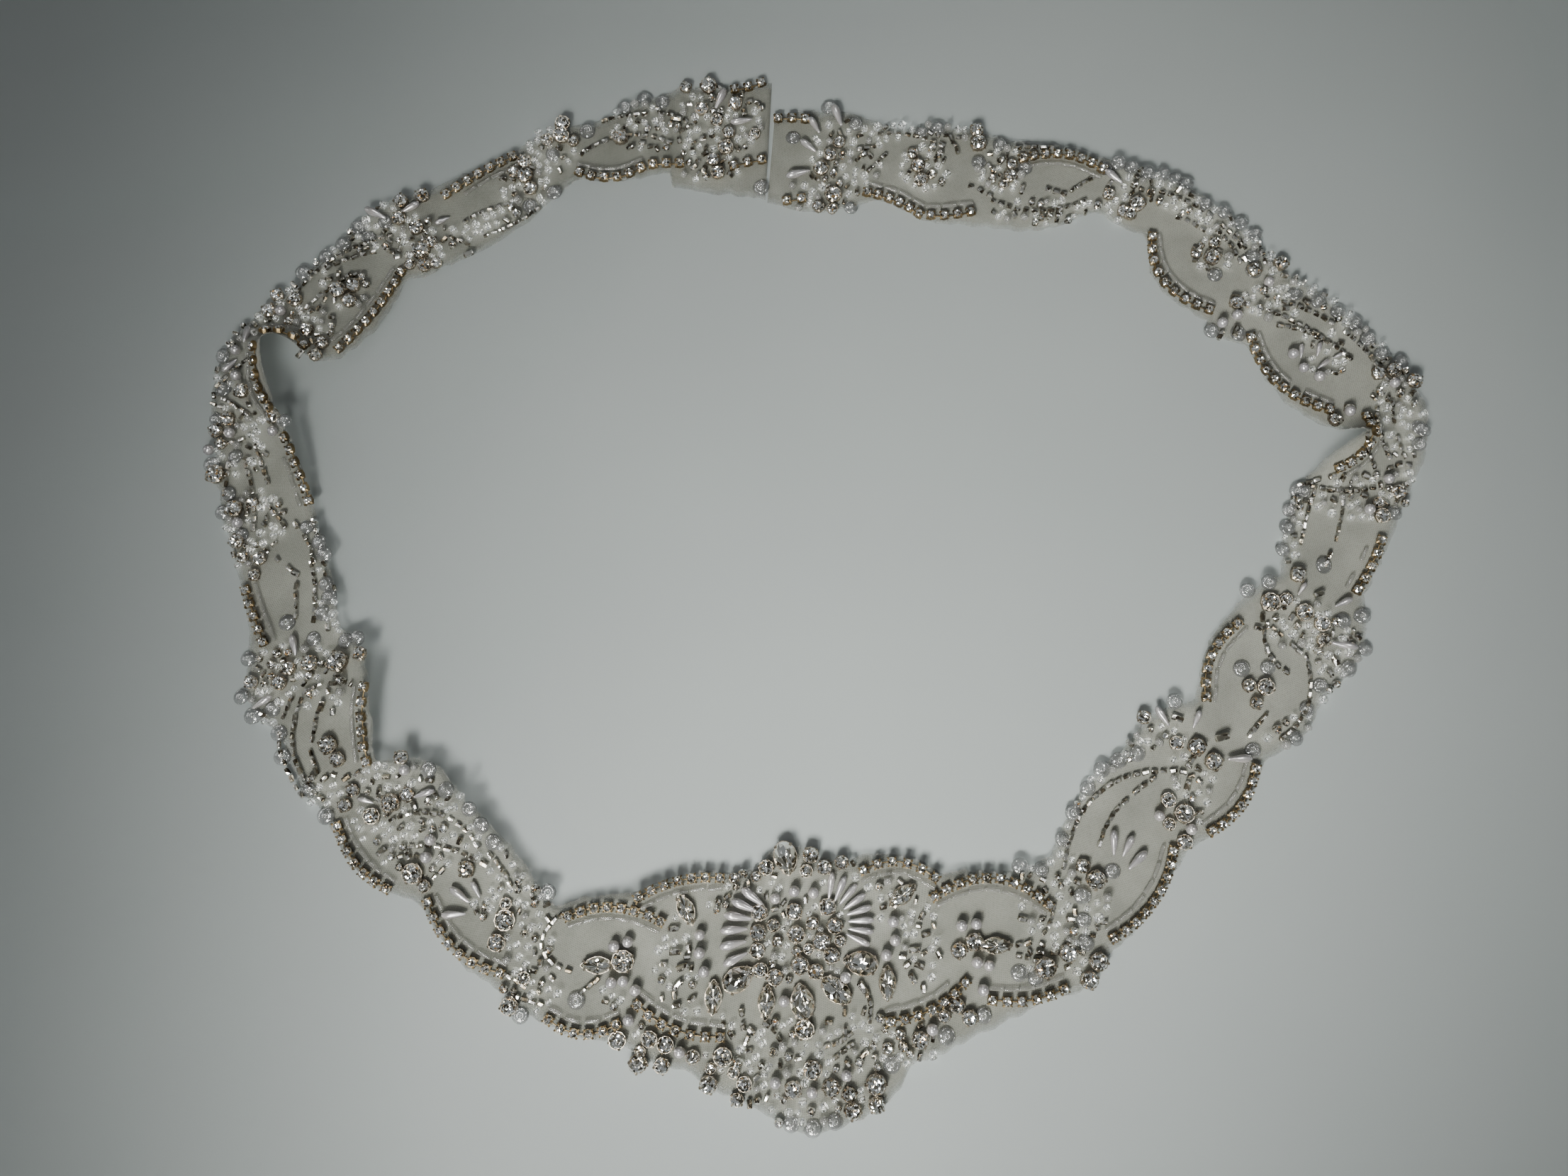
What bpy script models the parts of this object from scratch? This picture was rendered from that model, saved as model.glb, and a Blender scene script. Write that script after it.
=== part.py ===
"""Beaded bridal sash, laid flat as a closed loop.

A strip of scalloped net carries rhinestone cup chain and sew-on stones.  The
tables are in millimetres, seen from above, with +X to the right and +Y towards
the back, and the origin under the middle of the loop on the surface it lies on.
"""

import math
from collections import namedtuple

import bmesh
import bpy
from mathutils import Quaternion, Vector
from mathutils.bvhtree import BVHTree

MM = 0.001
UP = Vector((0.0, 0.0, 1.0))

# ---------------------------------------------------------------- net band
NET_THICKNESS = 1.1        # cloth wall, upwards
SEAM_GAP = 0.7             # between two stretches of net
SECTIONS_PER_CELL = 5      # cross-sections between two waists
POINTS_ACROSS = 5          # points on one cross-section
CORNER_SOFTENING = 0.22    # how far a waist's corner is drawn to its neighbours
LIFT_CURVE = 2.2           # how late a raised edge leaves the surface

# A waist is a cross-section where two scallops meet.  A bulge is how far the
# edge stands out, halfway to the next waist.  A lift is the height of an edge.
Waist = namedtuple("Waist", "outer outer_bulge inner inner_bulge outer_lift inner_lift")

MEDALLION = [
    Waist((-87.6, -128.2), 1.0, (-79.8, -93.6), -1.0, 0.0, 3.0),
    Waist((-77.0, -135.5), 1.2, (-73.0, -100.0), 1.6, 0.0, 2.0),
    Waist((-57.0, -139.5), 2.6, (-52.5, -95.8), 2.6, 0.0, 2.0),
    Waist((-37.0, -147.0), 1.7, (-25.0, -91.0), 0.4, 0.0, 1.2),
    Waist((-24.0, -154.5), 0.2, (-17.0, -89.5), 5.2, 0.0, 1.0),
    Waist((-4.0, -164.6), 0.8, (-2.0, -86.0), -0.3, 0.0, 1.0),
    Waist((15.0, -158.0), 1.8, (8.0, -87.0), 4.2, 0.0, 1.0),
    Waist((24.0, -146.0), 0.8, (35.0, -91.0), 0.6, 0.0, 1.5),
    Waist((43.0, -138.0), 0.8, (48.0, -90.3), 0.6, 0.0, 1.5),
    Waist((64.0, -128.0), 3.4, (57.0, -90.5), 0.4, 0.0, 1.0),
    Waist((81.6, -117.4), 0.0, (65.8, -86.6), 0.0, 0.0, 0.5),
]

LEFT_ARM = [
    Waist((-88.0, -127.8), 3.8, (-80.1, -93.2), 1.0, 0.0, 3.0),
    Waist((-115.0, -101.5), 5.8, (-103.0, -68.7), 6.2, 0.0, 5.0),
    Waist((-143.0, -79.0), 2.6, (-127.6, -60.2), 0.0, 0.0, 4.5),
    Waist((-160.0, -53.0), 5.5, (-129.6, -37.0), 2.8, 0.0, 7.5),
    Waist((-171.0, -30.0), -1.5, (-142.0, -20.0), 1.5, 0.0, 2.5),
    Waist((-183.0, 10.0), 0.5, (-150.8, 12.0), 0.5, 0.0, 2.0),
    Waist((-190.0, 46.0), 2.0, (-160.5, 41.5), -2.0, 0.0, 8.0),
    Waist((-186.0, 73.0), 1.0, (-168.0, 66.5), -2.5, 0.0, 12.0),
    Waist((-168.0, 89.0), 0.5, (-159.5, 63.5), 3.0, 0.5, 4.5),
    Waist((-156.0, 102.5), 0.8, (-146.0, 65.5), 3.0, 1.0, 1.5),
    Waist((-141.0, 119.0), 1.0, (-130.6, 90.6), 1.6, 1.0, 1.0),
    Waist((-125.0, 124.0), 0.5, (-119.0, 94.0), 2.5, 1.0, 0.5),
    Waist((-98.0, 138.0), 3.0, (-84.0, 119.0), 0.4, 1.0, 0.0),
    Waist((-76.0, 147.0), 0.8, (-78.0, 125.0), 2.5, 0.5, 0.8),
    Waist((-47.0, 160.0), 0.4, (-47.5, 128.5), 0.2, 0.5, 0.5),
    Waist((-43.0, 161.6), -0.4, (-46.5, 122.0), 0.2, 0.0, 0.0),
    Waist((-14.4, 164.0), 0.0, (-16.6, 118.4), 0.0, 0.0, 0.0),
]

RIGHT_ARM = [
    Waist((82.0, -117.0), 2.5, (66.2, -86.2), 4.0, 0.0, 0.5),
    Waist((106.0, -87.0), 4.9, (90.0, -54.0), 3.8, 0.0, 0.5),
    Waist((131.0, -61.0), 4.0, (110.3, -42.0), 4.2, 0.0, 1.0),
    Waist((150.0, -42.0), 6.5, (125.0, -12.5), 1.5, 0.0, 1.0),
    Waist((165.0, -13.0), 0.5, (138.0, -4.0), 1.0, 0.0, 0.5),
    Waist((181.0, 18.0), 1.0, (143.0, 20.0), 2.0, 1.0, 0.0),
    Waist((190.0, 40.0), 0.4, (165.5, 39.0), 0.0, 1.5, 6.5),
    Waist((190.0, 50.0), 2.0, (158.5, 40.5), 5.6, 1.5, 1.5),
    Waist((170.0, 80.0), 1.0, (134.5, 69.0), 3.0, 0.5, 0.5),
    Waist((150.0, 95.0), 1.5, (121.0, 77.5), 6.6, 0.5, 0.5),
    Waist((132.0, 118.5), 3.5, (105.0, 105.0), 0.5, 1.0, 0.0),
    Waist((104.0, 133.0), 2.5, (88.0, 115.0), 5.0, 1.5, 0.5),
    Waist((64.0, 141.5), 3.2, (54.0, 109.0), 4.0, 1.0, 0.5),
    Waist((26.0, 146.0), 4.5, (20.0, 119.0), 4.5, 0.5, 0.5),
    Waist((-13.4, 151.3), 0.0, (-16.0, 117.0), 0.0, 0.0, 0.0),
]

# Each stretch is one solid: name, table, first waist, last waist.
Stretch = namedtuple("Stretch", "name waists first last")
STRETCHES = [
    Stretch("medallion_net", MEDALLION, 0, 10),
    Stretch("left_net_1", LEFT_ARM, 0, 3),
    Stretch("left_net_2", LEFT_ARM, 3, 5),
    Stretch("left_net_3", LEFT_ARM, 5, 8),
    Stretch("left_net_4", LEFT_ARM, 8, 12),
    Stretch("left_net_5", LEFT_ARM, 12, 16),
    Stretch("right_net_1", RIGHT_ARM, 0, 3),
    Stretch("right_net_2", RIGHT_ARM, 3, 5),
    Stretch("right_net_3", RIGHT_ARM, 5, 8),
    Stretch("right_net_4", RIGHT_ARM, 8, 11),
    Stretch("right_net_5", RIGHT_ARM, 11, 14),
]

# ---------------------------------------------------------- rhinestone chain
CUP_WIDTH = 2.7            # side of a square cup
CUP_PITCH = 4.05           # from cup to cup
CUP_LENGTH = 2.6           # along the chain
LINK_SHARE = 0.36          # link's width as a share of the cup's
SEW_GAP = 0.4              # between the net and what is sewn on it
SLOPE_GAP = 0.6            # more of it where the net stands on edge
DROP_HEIGHT = 100.0        # from where the net is looked down on, to seat a piece

# A run is an arc from start to end; a positive bulge stands to its left.
Run = namedtuple("Run", "name start end bulge")
CHAIN_RUNS = [
    Run("chain_medallion_1", (-51.9, -98.6), (-28.8, -93.3), 1.9),
    Run("chain_medallion_2", (-71.7, -103.7), (-45.6, -105.3), 3.3),
    Run("chain_medallion_3", (-76.4, -131.9), (-57.4, -133.2), -3.2),
    Run("chain_medallion_4", (-51.6, -127.9), (-28.3, -136.5), -2.6),
    Run("chain_medallion_5", (12.2, -91.2), (32.5, -93.2), 3.4),
    Run("chain_medallion_6", (32.5, -98.4), (64.8, -100.8), 6.2),
    Run("chain_medallion_7", (19.2, -132.3), (40.5, -122.0), -2.4),
    Run("chain_medallion_8", (48.0, -126.6), (68.1, -123.8), -1.6),
    Run("chain_left_1", (-112.1, -100.4), (-90.5, -119.5), -3.8),
    Run("chain_left_2", (-139.5, -78.9), (-124.2, -96.3), -2.5),
    Run("chain_left_3", (-131.5, -39.4), (-130.8, -60.3), -1.2),
    Run("chain_left_4", (-172.1, -9.4), (-165.7, -25.1), -0.3),
    Run("chain_left_5", (-161.3, 36.8), (-154.6, 18.2), 0.4),
    Run("chain_left_6", (-172.8, 65.6), (-165.8, 45.7), -2.4),
    Run("chain_left_7", (-160.2, 67.3), (-171.8, 71.5), -1.6),
    Run("chain_left_8", (-132.1, 93.5), (-149.4, 67.5), 1.4),
    Run("chain_left_9", (-119.4, 120.6), (-98.6, 134.0), 0.6),
    Run("chain_left_10", (-76.7, 128.2), (-56.8, 130.0), -2.8),
    Run("chain_left_11", (-53.0, 131.2), (-44.5, 131.9), 0.1),
    Run("chain_left_12", (-26.7, 159.0), (-18.1, 161.4), -0.4),
    Run("chain_left_13", (-26.9, 131.1), (-17.7, 133.2), 0.2),
    Run("chain_right_1", (101.4, -85.7), (83.0, -109.9), 3.6),
    Run("chain_right_2", (126.9, -62.4), (113.0, -80.3), 2.6),
    Run("chain_right_3", (124.5, -19.8), (113.6, -41.6), -3.2),
    Run("chain_right_4", (170.2, 5.8), (162.1, -9.2), 0.6),
    Run("chain_right_5", (169.5, 44.6), (159.3, 28.8), 3.3),
    Run("chain_right_6", (136.0, 71.4), (158.3, 47.4), -5.2),
    Run("chain_right_7", (107.2, 106.0), (123.7, 80.9), -6.1),
    Run("chain_right_8", (67.0, 133.5), (92.4, 129.6), 3.0),
    Run("chain_right_9", (16.3, 121.3), (32.8, 113.9), 1.0),
    Run("chain_right_10", (36.7, 113.2), (49.4, 114.2), -0.4),
    Run("chain_right_11", (-12.4, 148.1), (-3.5, 147.9), 0.2),
    Run("chain_right_12", (-9.6, 118.5), (-4.8, 119.3), 0.0),
]

# ------------------------------------------------------------ sew-on stones
STONE_SEGMENTS = 14
TABLE_SHARE = 0.52         # flat top of a stone as a share of its outline
GIRDLE_SHARE = 0.45        # height of the widest line as a share of the stone's

Cut = namedtuple("Cut", "length width height point_front point_back")
CUTS = {
    "navette": Cut(9.6, 4.8, 3.4, 1.0, 1.0),
    "pear": Cut(9.8, 6.6, 3.8, 1.0, 0.0),
    "oval": Cut(10.0, 7.2, 3.8, 0.0, 0.0),
}

# A heading is the way a stone's length, or a pear's tip, points from above.
Stone = namedtuple("Stone", "name cut centre heading")
STONES = [
    Stone("crown_pear", "pear", (-10.0, -87.9), -80.0),
    Stone("pear_left", "pear", (-23.2, -120.8), 38.0),
    Stone("pear_middle", "pear", (-5.5, -127.0), 97.0),
    Stone("pear_right", "pear", (11.1, -116.7), 172.0),
    Stone("oval_middle", "oval", (4.2, -124.0), -42.0),
    Stone("navette_1", "navette", (-38.4, -102.0), -66.0),
    Stone("navette_2", "navette", (-30.4, -125.9), 90.0),
    Stone("navette_3", "navette", (-15.5, -127.3), 84.0),
    Stone("navette_4", "navette", (18.5, -122.1), 88.0),
    Stone("navette_5", "navette", (-63.0, -117.2), 2.0),
    Stone("navette_6", "navette", (49.2, -111.8), 2.0),
    Stone("navette_7", "navette", (23.2, -98.2), 42.0),
]

# ------------------------------------------------------------------- finish
Finish = namedtuple("Finish", "colour roughness metallic")
NET_FINISH = Finish((0.78, 0.76, 0.70, 1.0), 0.85, 0.0)
CHAIN_FINISH = Finish((0.62, 0.55, 0.42, 1.0), 0.28, 1.0)
STONE_FINISH = Finish((0.80, 0.82, 0.84, 1.0), 0.08, 0.6)


def clear_scene():
    for item in list(bpy.data.objects):
        bpy.data.objects.remove(item, do_unlink=True)


def new_material(name, finish):
    material = bpy.data.materials.new(name)
    material.use_nodes = True
    shader = material.node_tree.nodes["Principled BSDF"]
    shader.inputs["Base Color"].default_value = finish.colour
    shader.inputs["Roughness"].default_value = finish.roughness
    shader.inputs["Metallic"].default_value = finish.metallic
    material.diffuse_color = finish.colour
    return material


def arc_point(start, end, bulge, share):
    """Point on a shallow arc that stands `bulge` to the left of its chord."""
    chord = Vector(end) - Vector(start)
    left = Vector((-chord.y, chord.x)).normalized()
    return Vector(start) + chord * share + left * (4.0 * bulge * share * (1.0 - share))


def smooth_share(share):
    return share * share * (3.0 - 2.0 * share)


def edge_bulge(here, there, opposite, bulge):
    """Bulge measured to the left of an edge, so that it points away from the other edge."""
    chord = Vector(there) - Vector(here)
    left = Vector((-chord.y, chord.x))
    away = (Vector(here) + Vector(there)) * 0.5 - opposite
    return bulge if left.dot(away) > 0.0 else -bulge


def soften_corners(points, rounds=2):
    for _ in range(rounds):
        inner = [
            point.lerp((before + after) * 0.5, CORNER_SOFTENING)
            for before, point, after in zip(points, points[1:], points[2:])
        ]
        points = [points[0]] + inner + [points[-1]]
    return points


def band_edges(waists):
    """Both edges of a band as rows of (outer point, inner point, lifts)."""
    outer_edge, inner_edge, lifts = [], [], []
    for here, there in zip(waists, waists[1:]):
        outer_middle = (Vector(here.outer) + Vector(there.outer)) * 0.5
        inner_middle = (Vector(here.inner) + Vector(there.inner)) * 0.5
        outer_bulge = edge_bulge(here.outer, there.outer, inner_middle, here.outer_bulge)
        inner_bulge = edge_bulge(here.inner, there.inner, outer_middle, here.inner_bulge)
        for step in range(SECTIONS_PER_CELL):
            share = step / SECTIONS_PER_CELL
            eased = smooth_share(share)
            outer_edge.append(arc_point(here.outer, there.outer, outer_bulge, share))
            inner_edge.append(arc_point(here.inner, there.inner, inner_bulge, share))
            lifts.append((
                here.outer_lift + (there.outer_lift - here.outer_lift) * eased,
                here.inner_lift + (there.inner_lift - here.inner_lift) * eased,
            ))
    outer_edge.append(Vector(waists[-1].outer))
    inner_edge.append(Vector(waists[-1].inner))
    lifts.append((waists[-1].outer_lift, waists[-1].inner_lift))
    return soften_corners(outer_edge), soften_corners(inner_edge), lifts


def section_points(outer, inner, lift):
    points = []
    for index in range(POINTS_ACROSS):
        share = index / (POINTS_ACROSS - 1)
        flat = outer.lerp(inner, share)
        height = lift[0] * (1.0 - share) ** LIFT_CURVE + lift[1] * share ** LIFT_CURVE
        points.append(Vector((flat.x, flat.y, height)))
    return points


def blend_sections(near, far, distance):
    """The section `distance` along from `near` towards `far`."""
    span = sum((b - a).length for a, b in zip(near, far)) / len(near)
    return [a.lerp(b, distance / span) for a, b in zip(near, far)]


def stretch_sections(stretch):
    outer_edge, inner_edge, lifts = band_edges(stretch.waists)
    first = stretch.first * SECTIONS_PER_CELL
    last = stretch.last * SECTIONS_PER_CELL
    rows = [section_points(outer_edge[k], inner_edge[k], lifts[k]) for k in range(first, last + 1)]
    if stretch.first > 0:
        rows[0] = blend_sections(rows[0], rows[1], SEAM_GAP * 0.5)
    if stretch.last < len(stretch.waists) - 1:
        rows[-1] = blend_sections(rows[-1], rows[-2], SEAM_GAP * 0.5)
    return rows


def make_net(stretch, collection, material):
    """One stretch of net: the underside through its sections, drawn up to the cloth's thickness."""
    rows = stretch_sections(stretch)
    shape = bmesh.new()
    grid = [[shape.verts.new(point * MM) for point in row] for row in rows]
    for row, following in zip(grid, grid[1:]):
        for index in range(POINTS_ACROSS - 1):
            shape.faces.new((row[index], row[index + 1], following[index + 1], following[index]))
    top = bmesh.ops.extrude_face_region(shape, geom=shape.faces[:])["geom"]
    raised = [item for item in top if isinstance(item, bmesh.types.BMVert)]
    bmesh.ops.translate(shape, verts=raised, vec=UP * (NET_THICKNESS * MM))
    bmesh.ops.recalc_face_normals(shape, faces=shape.faces)
    mesh = bpy.data.meshes.new(stretch.name)
    shape.to_mesh(mesh)
    shape.free()
    mesh.materials.append(material)
    net = bpy.data.objects.new(stretch.name, mesh)
    collection.objects.link(net)
    return net


def net_surface(nets):
    """The surface of all the net, for seating what is sewn on it."""
    vertices, faces = [], []
    for net in nets:
        base = len(vertices)
        vertices.extend(vertex.co.copy() for vertex in net.data.vertices)
        faces.extend([base + index for index in face.vertices] for face in net.data.polygons)
    return BVHTree.FromPolygons(vertices, faces)


def net_below(surface, flat):
    """The net's top at a flat place and its normal, read beside the place where that is over a seam."""
    for beside in ((0.0, 0.0), (0.0, SEAM_GAP), (0.0, -SEAM_GAP), (SEAM_GAP, 0.0), (-SEAM_GAP, 0.0)):
        above = Vector(((flat.x + beside[0]) * MM, (flat.y + beside[1]) * MM, DROP_HEIGHT * MM))
        hit, normal, _, _ = surface.ray_cast(above, -UP)
        if hit is not None:
            return Vector((flat.x * MM, flat.y * MM, hit.z)), normal
    raise ValueError(f"no net under {tuple(flat)}")


def seat(surface, flat, half_height):
    """Middle of a level piece sewn on over the flat place, and the net's normal there."""
    place, normal = net_below(surface, flat)
    slope = math.sqrt(max(0.0, 1.0 - normal.z * normal.z))
    stand = SEW_GAP + half_height * (normal.z + slope) + SLOPE_GAP * slope
    return place + normal * (stand * MM), normal


def make_chain(run, surface, collection, material):
    """A run of square cups on thin links, as one swept bar."""
    chord = (Vector(run.end) - Vector(run.start)).length
    arc_length = chord + 8.0 * run.bulge * run.bulge / (3.0 * chord)
    cups = max(2, round(arc_length / CUP_PITCH) + 1)
    pitch = arc_length / (cups - 1)
    stations = []
    for cup in range(cups):
        middle = cup * pitch
        stations.append((middle - CUP_LENGTH * 0.5, 1.0))
        stations.append((middle + CUP_LENGTH * 0.5, 1.0))
        if cup < cups - 1:
            stations.append((middle + pitch * 0.5, LINK_SHARE))
    curve = bpy.data.curves.new(run.name, "CURVE")
    curve.dimensions = "3D"
    curve.twist_mode = "Z_UP"
    curve.bevel_mode = "ROUND"
    curve.bevel_depth = CUP_WIDTH * 0.5 * math.sqrt(2.0) * MM
    curve.bevel_resolution = 0
    curve.use_fill_caps = True
    spline = curve.splines.new("POLY")
    spline.points.add(len(stations) - 1)
    for point, (distance, share) in zip(spline.points, stations):
        flat = arc_point(run.start, run.end, run.bulge, distance / arc_length)
        place, _ = seat(surface, flat, CUP_WIDTH * 0.5)
        point.co = (*place, 1.0)
        point.radius = share
        point.tilt = math.pi / 4.0
    curve.materials.append(material)
    chain = bpy.data.objects.new(run.name, curve)
    collection.objects.link(chain)
    return chain


def stone_outline(cut, angle):
    """Outline point of a stone: an ellipse drawn out to a tip at its pointed ends."""
    along, across = math.cos(angle), math.sin(angle)
    point = cut.point_front if along > 0.0 else cut.point_back
    narrowing = 1.0 - 0.42 * point * abs(along) ** 1.5
    return Vector((along * cut.length * 0.5, across * cut.width * 0.5 * narrowing))


def make_stone(stone, surface, collection, material):
    """A cut stone in its setting: a straight base, and a crown drawn in to a flat table."""
    cut = CUTS[stone.cut]
    shape = bmesh.new()
    bmesh.ops.create_cone(
        shape, cap_ends=True, segments=STONE_SEGMENTS,
        radius1=1.0, radius2=1.0, depth=cut.height * GIRDLE_SHARE * MM,
    )
    table = max(shape.faces, key=lambda face: face.calc_center_median().z)
    bmesh.ops.inset_region(shape, faces=[table], thickness=0.1, use_even_offset=False)
    table_vertices = list(table.verts)
    girdle = cut.height * GIRDLE_SHARE * MM
    for vertex in shape.verts:
        angle = math.atan2(vertex.co.y, vertex.co.x)
        outline = stone_outline(cut, angle) * MM
        on_table = vertex in table_vertices
        share = TABLE_SHARE if on_table else 1.0
        low = vertex.co.z < 0.0
        vertex.co.x, vertex.co.y = outline.x * share, outline.y * share
        vertex.co.z = cut.height * MM if on_table else (0.0 if low else girdle)
    mesh = bpy.data.meshes.new(stone.name)
    shape.to_mesh(mesh)
    shape.free()
    mesh.materials.append(material)
    body = bpy.data.objects.new(stone.name, mesh)
    place, normal = seat(surface, Vector(stone.centre), 0.0)
    tilt = UP.rotation_difference(normal)
    body.rotation_mode = "QUATERNION"
    body.rotation_quaternion = tilt @ Quaternion(UP, math.radians(stone.heading))
    body.location = place
    collection.objects.link(body)
    return body


def main():
    clear_scene()
    collection = bpy.data.collections.new("beaded_bridal_sash")
    bpy.context.scene.collection.children.link(collection)
    nets = [make_net(stretch, collection, new_material(stretch.name, NET_FINISH)) for stretch in STRETCHES]
    surface = net_surface(nets)
    for run in CHAIN_RUNS:
        make_chain(run, surface, collection, new_material(run.name, CHAIN_FINISH))
    for stone in STONES:
        make_stone(stone, surface, collection, new_material(stone.name, STONE_FINISH))


main()
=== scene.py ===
# Beaded bridal sash: the looks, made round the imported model.
# Tables are in millimetres, seen from above, in the model's own frame.

import math
import random
from collections import namedtuple

import bmesh
import bpy
from mathutils import Matrix, Vector, noise
from mathutils.bvhtree import BVHTree


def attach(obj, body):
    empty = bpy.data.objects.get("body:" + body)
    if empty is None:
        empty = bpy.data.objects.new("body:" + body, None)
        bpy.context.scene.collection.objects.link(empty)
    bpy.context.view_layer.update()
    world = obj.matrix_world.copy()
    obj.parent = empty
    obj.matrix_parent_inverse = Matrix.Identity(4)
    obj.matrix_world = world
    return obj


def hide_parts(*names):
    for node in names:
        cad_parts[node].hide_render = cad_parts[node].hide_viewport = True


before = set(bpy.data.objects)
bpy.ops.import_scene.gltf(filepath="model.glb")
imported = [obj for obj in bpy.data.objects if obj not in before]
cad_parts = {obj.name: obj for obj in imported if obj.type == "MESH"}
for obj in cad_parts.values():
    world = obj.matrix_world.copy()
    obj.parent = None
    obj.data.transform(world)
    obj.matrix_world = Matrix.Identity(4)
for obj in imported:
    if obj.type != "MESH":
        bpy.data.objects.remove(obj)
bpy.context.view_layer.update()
mm = 0.001
up = Vector((0.0, 0.0, 1.0))

# The camera looks down at the sash from above the medallion's front.
cameraSizes = {
    "place": (-10.5, -78.8, 346.0),
    "tilt": 11.5,          # degrees off the vertical, towards the back
    "lens": 26.85,
    "sensor": 36.0,
}
cameraPlace = Vector(cameraSizes["place"])




def arcPoint(start, end, bulge, share):    # a positive bulge stands to the left of start to end
    chord = Vector(end) - Vector(start)
    left = Vector((-chord.y, chord.x)).normalized()
    return Vector(start) + chord * share + left * (4.0 * bulge * share * (1.0 - share))


def meshObject(name, mesh):
    made = bpy.data.objects.new(name, mesh)
    bpy.context.scene.collection.objects.link(made)
    return made


def fromShape(name, shape, smooth=True):   # closes a bmesh into an object
    bmesh.ops.recalc_face_normals(shape, faces=shape.faces)
    mesh = bpy.data.meshes.new(name)
    shape.to_mesh(mesh)
    shape.free()
    mesh.polygons.foreach_set("use_smooth", [smooth] * len(mesh.polygons))
    return meshObject(name, mesh)


# A waist is where two scallops meet.  A bulge is how far an edge stands out
# halfway to the next waist, and a lift is an edge's height off the table.
waist = namedtuple("waist", "outer outerBulge inner innerBulge outerLift innerLift")

leftArm = [
    waist((-88.0, -127.8), 3.8, (-80.1, -93.2), 1.0, 0.0, 3.0),
    waist((-115.0, -101.5), 5.8, (-103.0, -68.7), 6.2, 0.0, 5.0),
    waist((-143.0, -79.0), 2.6, (-127.6, -60.2), 0.0, 0.0, 4.5),
    waist((-160.0, -53.0), 5.5, (-129.6, -37.0), 2.8, 0.0, 7.5),
    waist((-171.0, -30.0), -1.5, (-142.0, -20.0), 1.5, 0.0, 2.5),
    waist((-183.0, 10.0), 0.5, (-150.8, 12.0), 0.5, 0.0, 2.0),
    waist((-190.0, 46.0), 2.0, (-160.5, 41.5), -2.0, 0.0, 8.0),
    waist((-186.0, 73.0), 1.0, (-168.0, 66.5), -2.5, 0.0, 12.0),
    waist((-168.0, 89.0), 0.5, (-159.5, 63.5), 3.0, 0.5, 4.5),
    waist((-156.0, 102.5), 0.8, (-146.0, 65.5), 3.0, 1.0, 1.5),
    waist((-141.0, 119.0), 1.0, (-130.6, 90.6), 1.6, 1.0, 1.0),
    waist((-125.0, 124.0), 0.5, (-119.0, 94.0), 2.5, 1.0, 0.5),
    waist((-98.0, 138.0), 3.0, (-84.0, 119.0), 0.4, 1.0, 0.0),
    waist((-76.0, 147.0), 0.8, (-78.0, 125.0), 2.5, 0.5, 0.8),
    waist((-47.0, 160.0), 0.4, (-47.5, 128.5), 0.2, 0.5, 0.5),
    waist((-43.0, 161.6), -0.4, (-46.5, 122.0), 0.2, 0.0, 0.0),
    waist((-14.4, 164.0), 0.0, (-16.6, 118.4), 0.0, 0.0, 0.0),
]
medallion = [
    waist((-87.6, -128.2), 1.0, (-79.8, -93.6), -1.0, 0.0, 3.0),
    waist((-77.0, -135.5), 1.2, (-73.0, -100.0), 1.6, 0.0, 2.0),
    waist((-57.0, -139.5), 2.6, (-52.5, -95.8), 2.6, 0.0, 2.0),
    waist((-37.0, -147.0), 1.7, (-25.0, -91.0), 0.4, 0.0, 1.2),
    waist((-24.0, -154.5), 0.2, (-17.0, -89.5), 5.2, 0.0, 1.0),
    waist((-4.0, -164.6), 0.8, (-2.0, -86.0), -0.3, 0.0, 1.0),
    waist((15.0, -158.0), 1.8, (8.0, -87.0), 4.2, 0.0, 1.0),
    waist((24.0, -146.0), 0.8, (35.0, -91.0), 0.6, 0.0, 1.5),
    waist((43.0, -138.0), 0.8, (48.0, -90.3), 0.6, 0.0, 1.5),
    waist((64.0, -128.0), 3.4, (57.0, -90.5), 0.4, 0.0, 1.0),
    waist((81.6, -117.4), 0.0, (65.8, -86.6), 0.0, 0.0, 0.5),
]
rightArm = [
    waist((82.0, -117.0), 2.5, (66.2, -86.2), 4.0, 0.0, 0.5),
    waist((106.0, -87.0), 4.9, (90.0, -54.0), 3.8, 0.0, 0.5),
    waist((131.0, -61.0), 4.0, (110.3, -42.0), 4.2, 0.0, 1.0),
    waist((150.0, -42.0), 6.5, (125.0, -12.5), 1.5, 0.0, 1.0),
    waist((165.0, -13.0), 0.5, (138.0, -4.0), 1.0, 0.0, 0.5),
    waist((181.0, 18.0), 1.0, (143.0, 20.0), 2.0, 1.0, 0.0),
    waist((190.0, 40.0), 0.4, (165.5, 39.0), 0.0, 1.5, 6.5),
    waist((190.0, 50.0), 2.0, (158.5, 40.5), 5.6, 1.5, 1.5),
    waist((170.0, 80.0), 1.0, (134.5, 69.0), 3.0, 0.5, 0.5),
    waist((150.0, 95.0), 1.5, (121.0, 77.5), 6.6, 0.5, 0.5),
    waist((131.0, 116.5), 2.2, (105.0, 105.0), 0.5, 1.0, 0.0),
    waist((103.5, 131.8), 2.2, (88.0, 115.0), 5.0, 1.5, 0.5),
    waist((64.0, 141.5), 3.2, (54.0, 109.0), 4.0, 1.0, 0.5),
    waist((26.0, 146.0), 4.5, (20.0, 119.0), 4.5, 0.5, 0.5),
    waist((-13.4, 151.3), 0.0, (-16.0, 117.0), 0.0, 0.0, 0.0),
]

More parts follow.
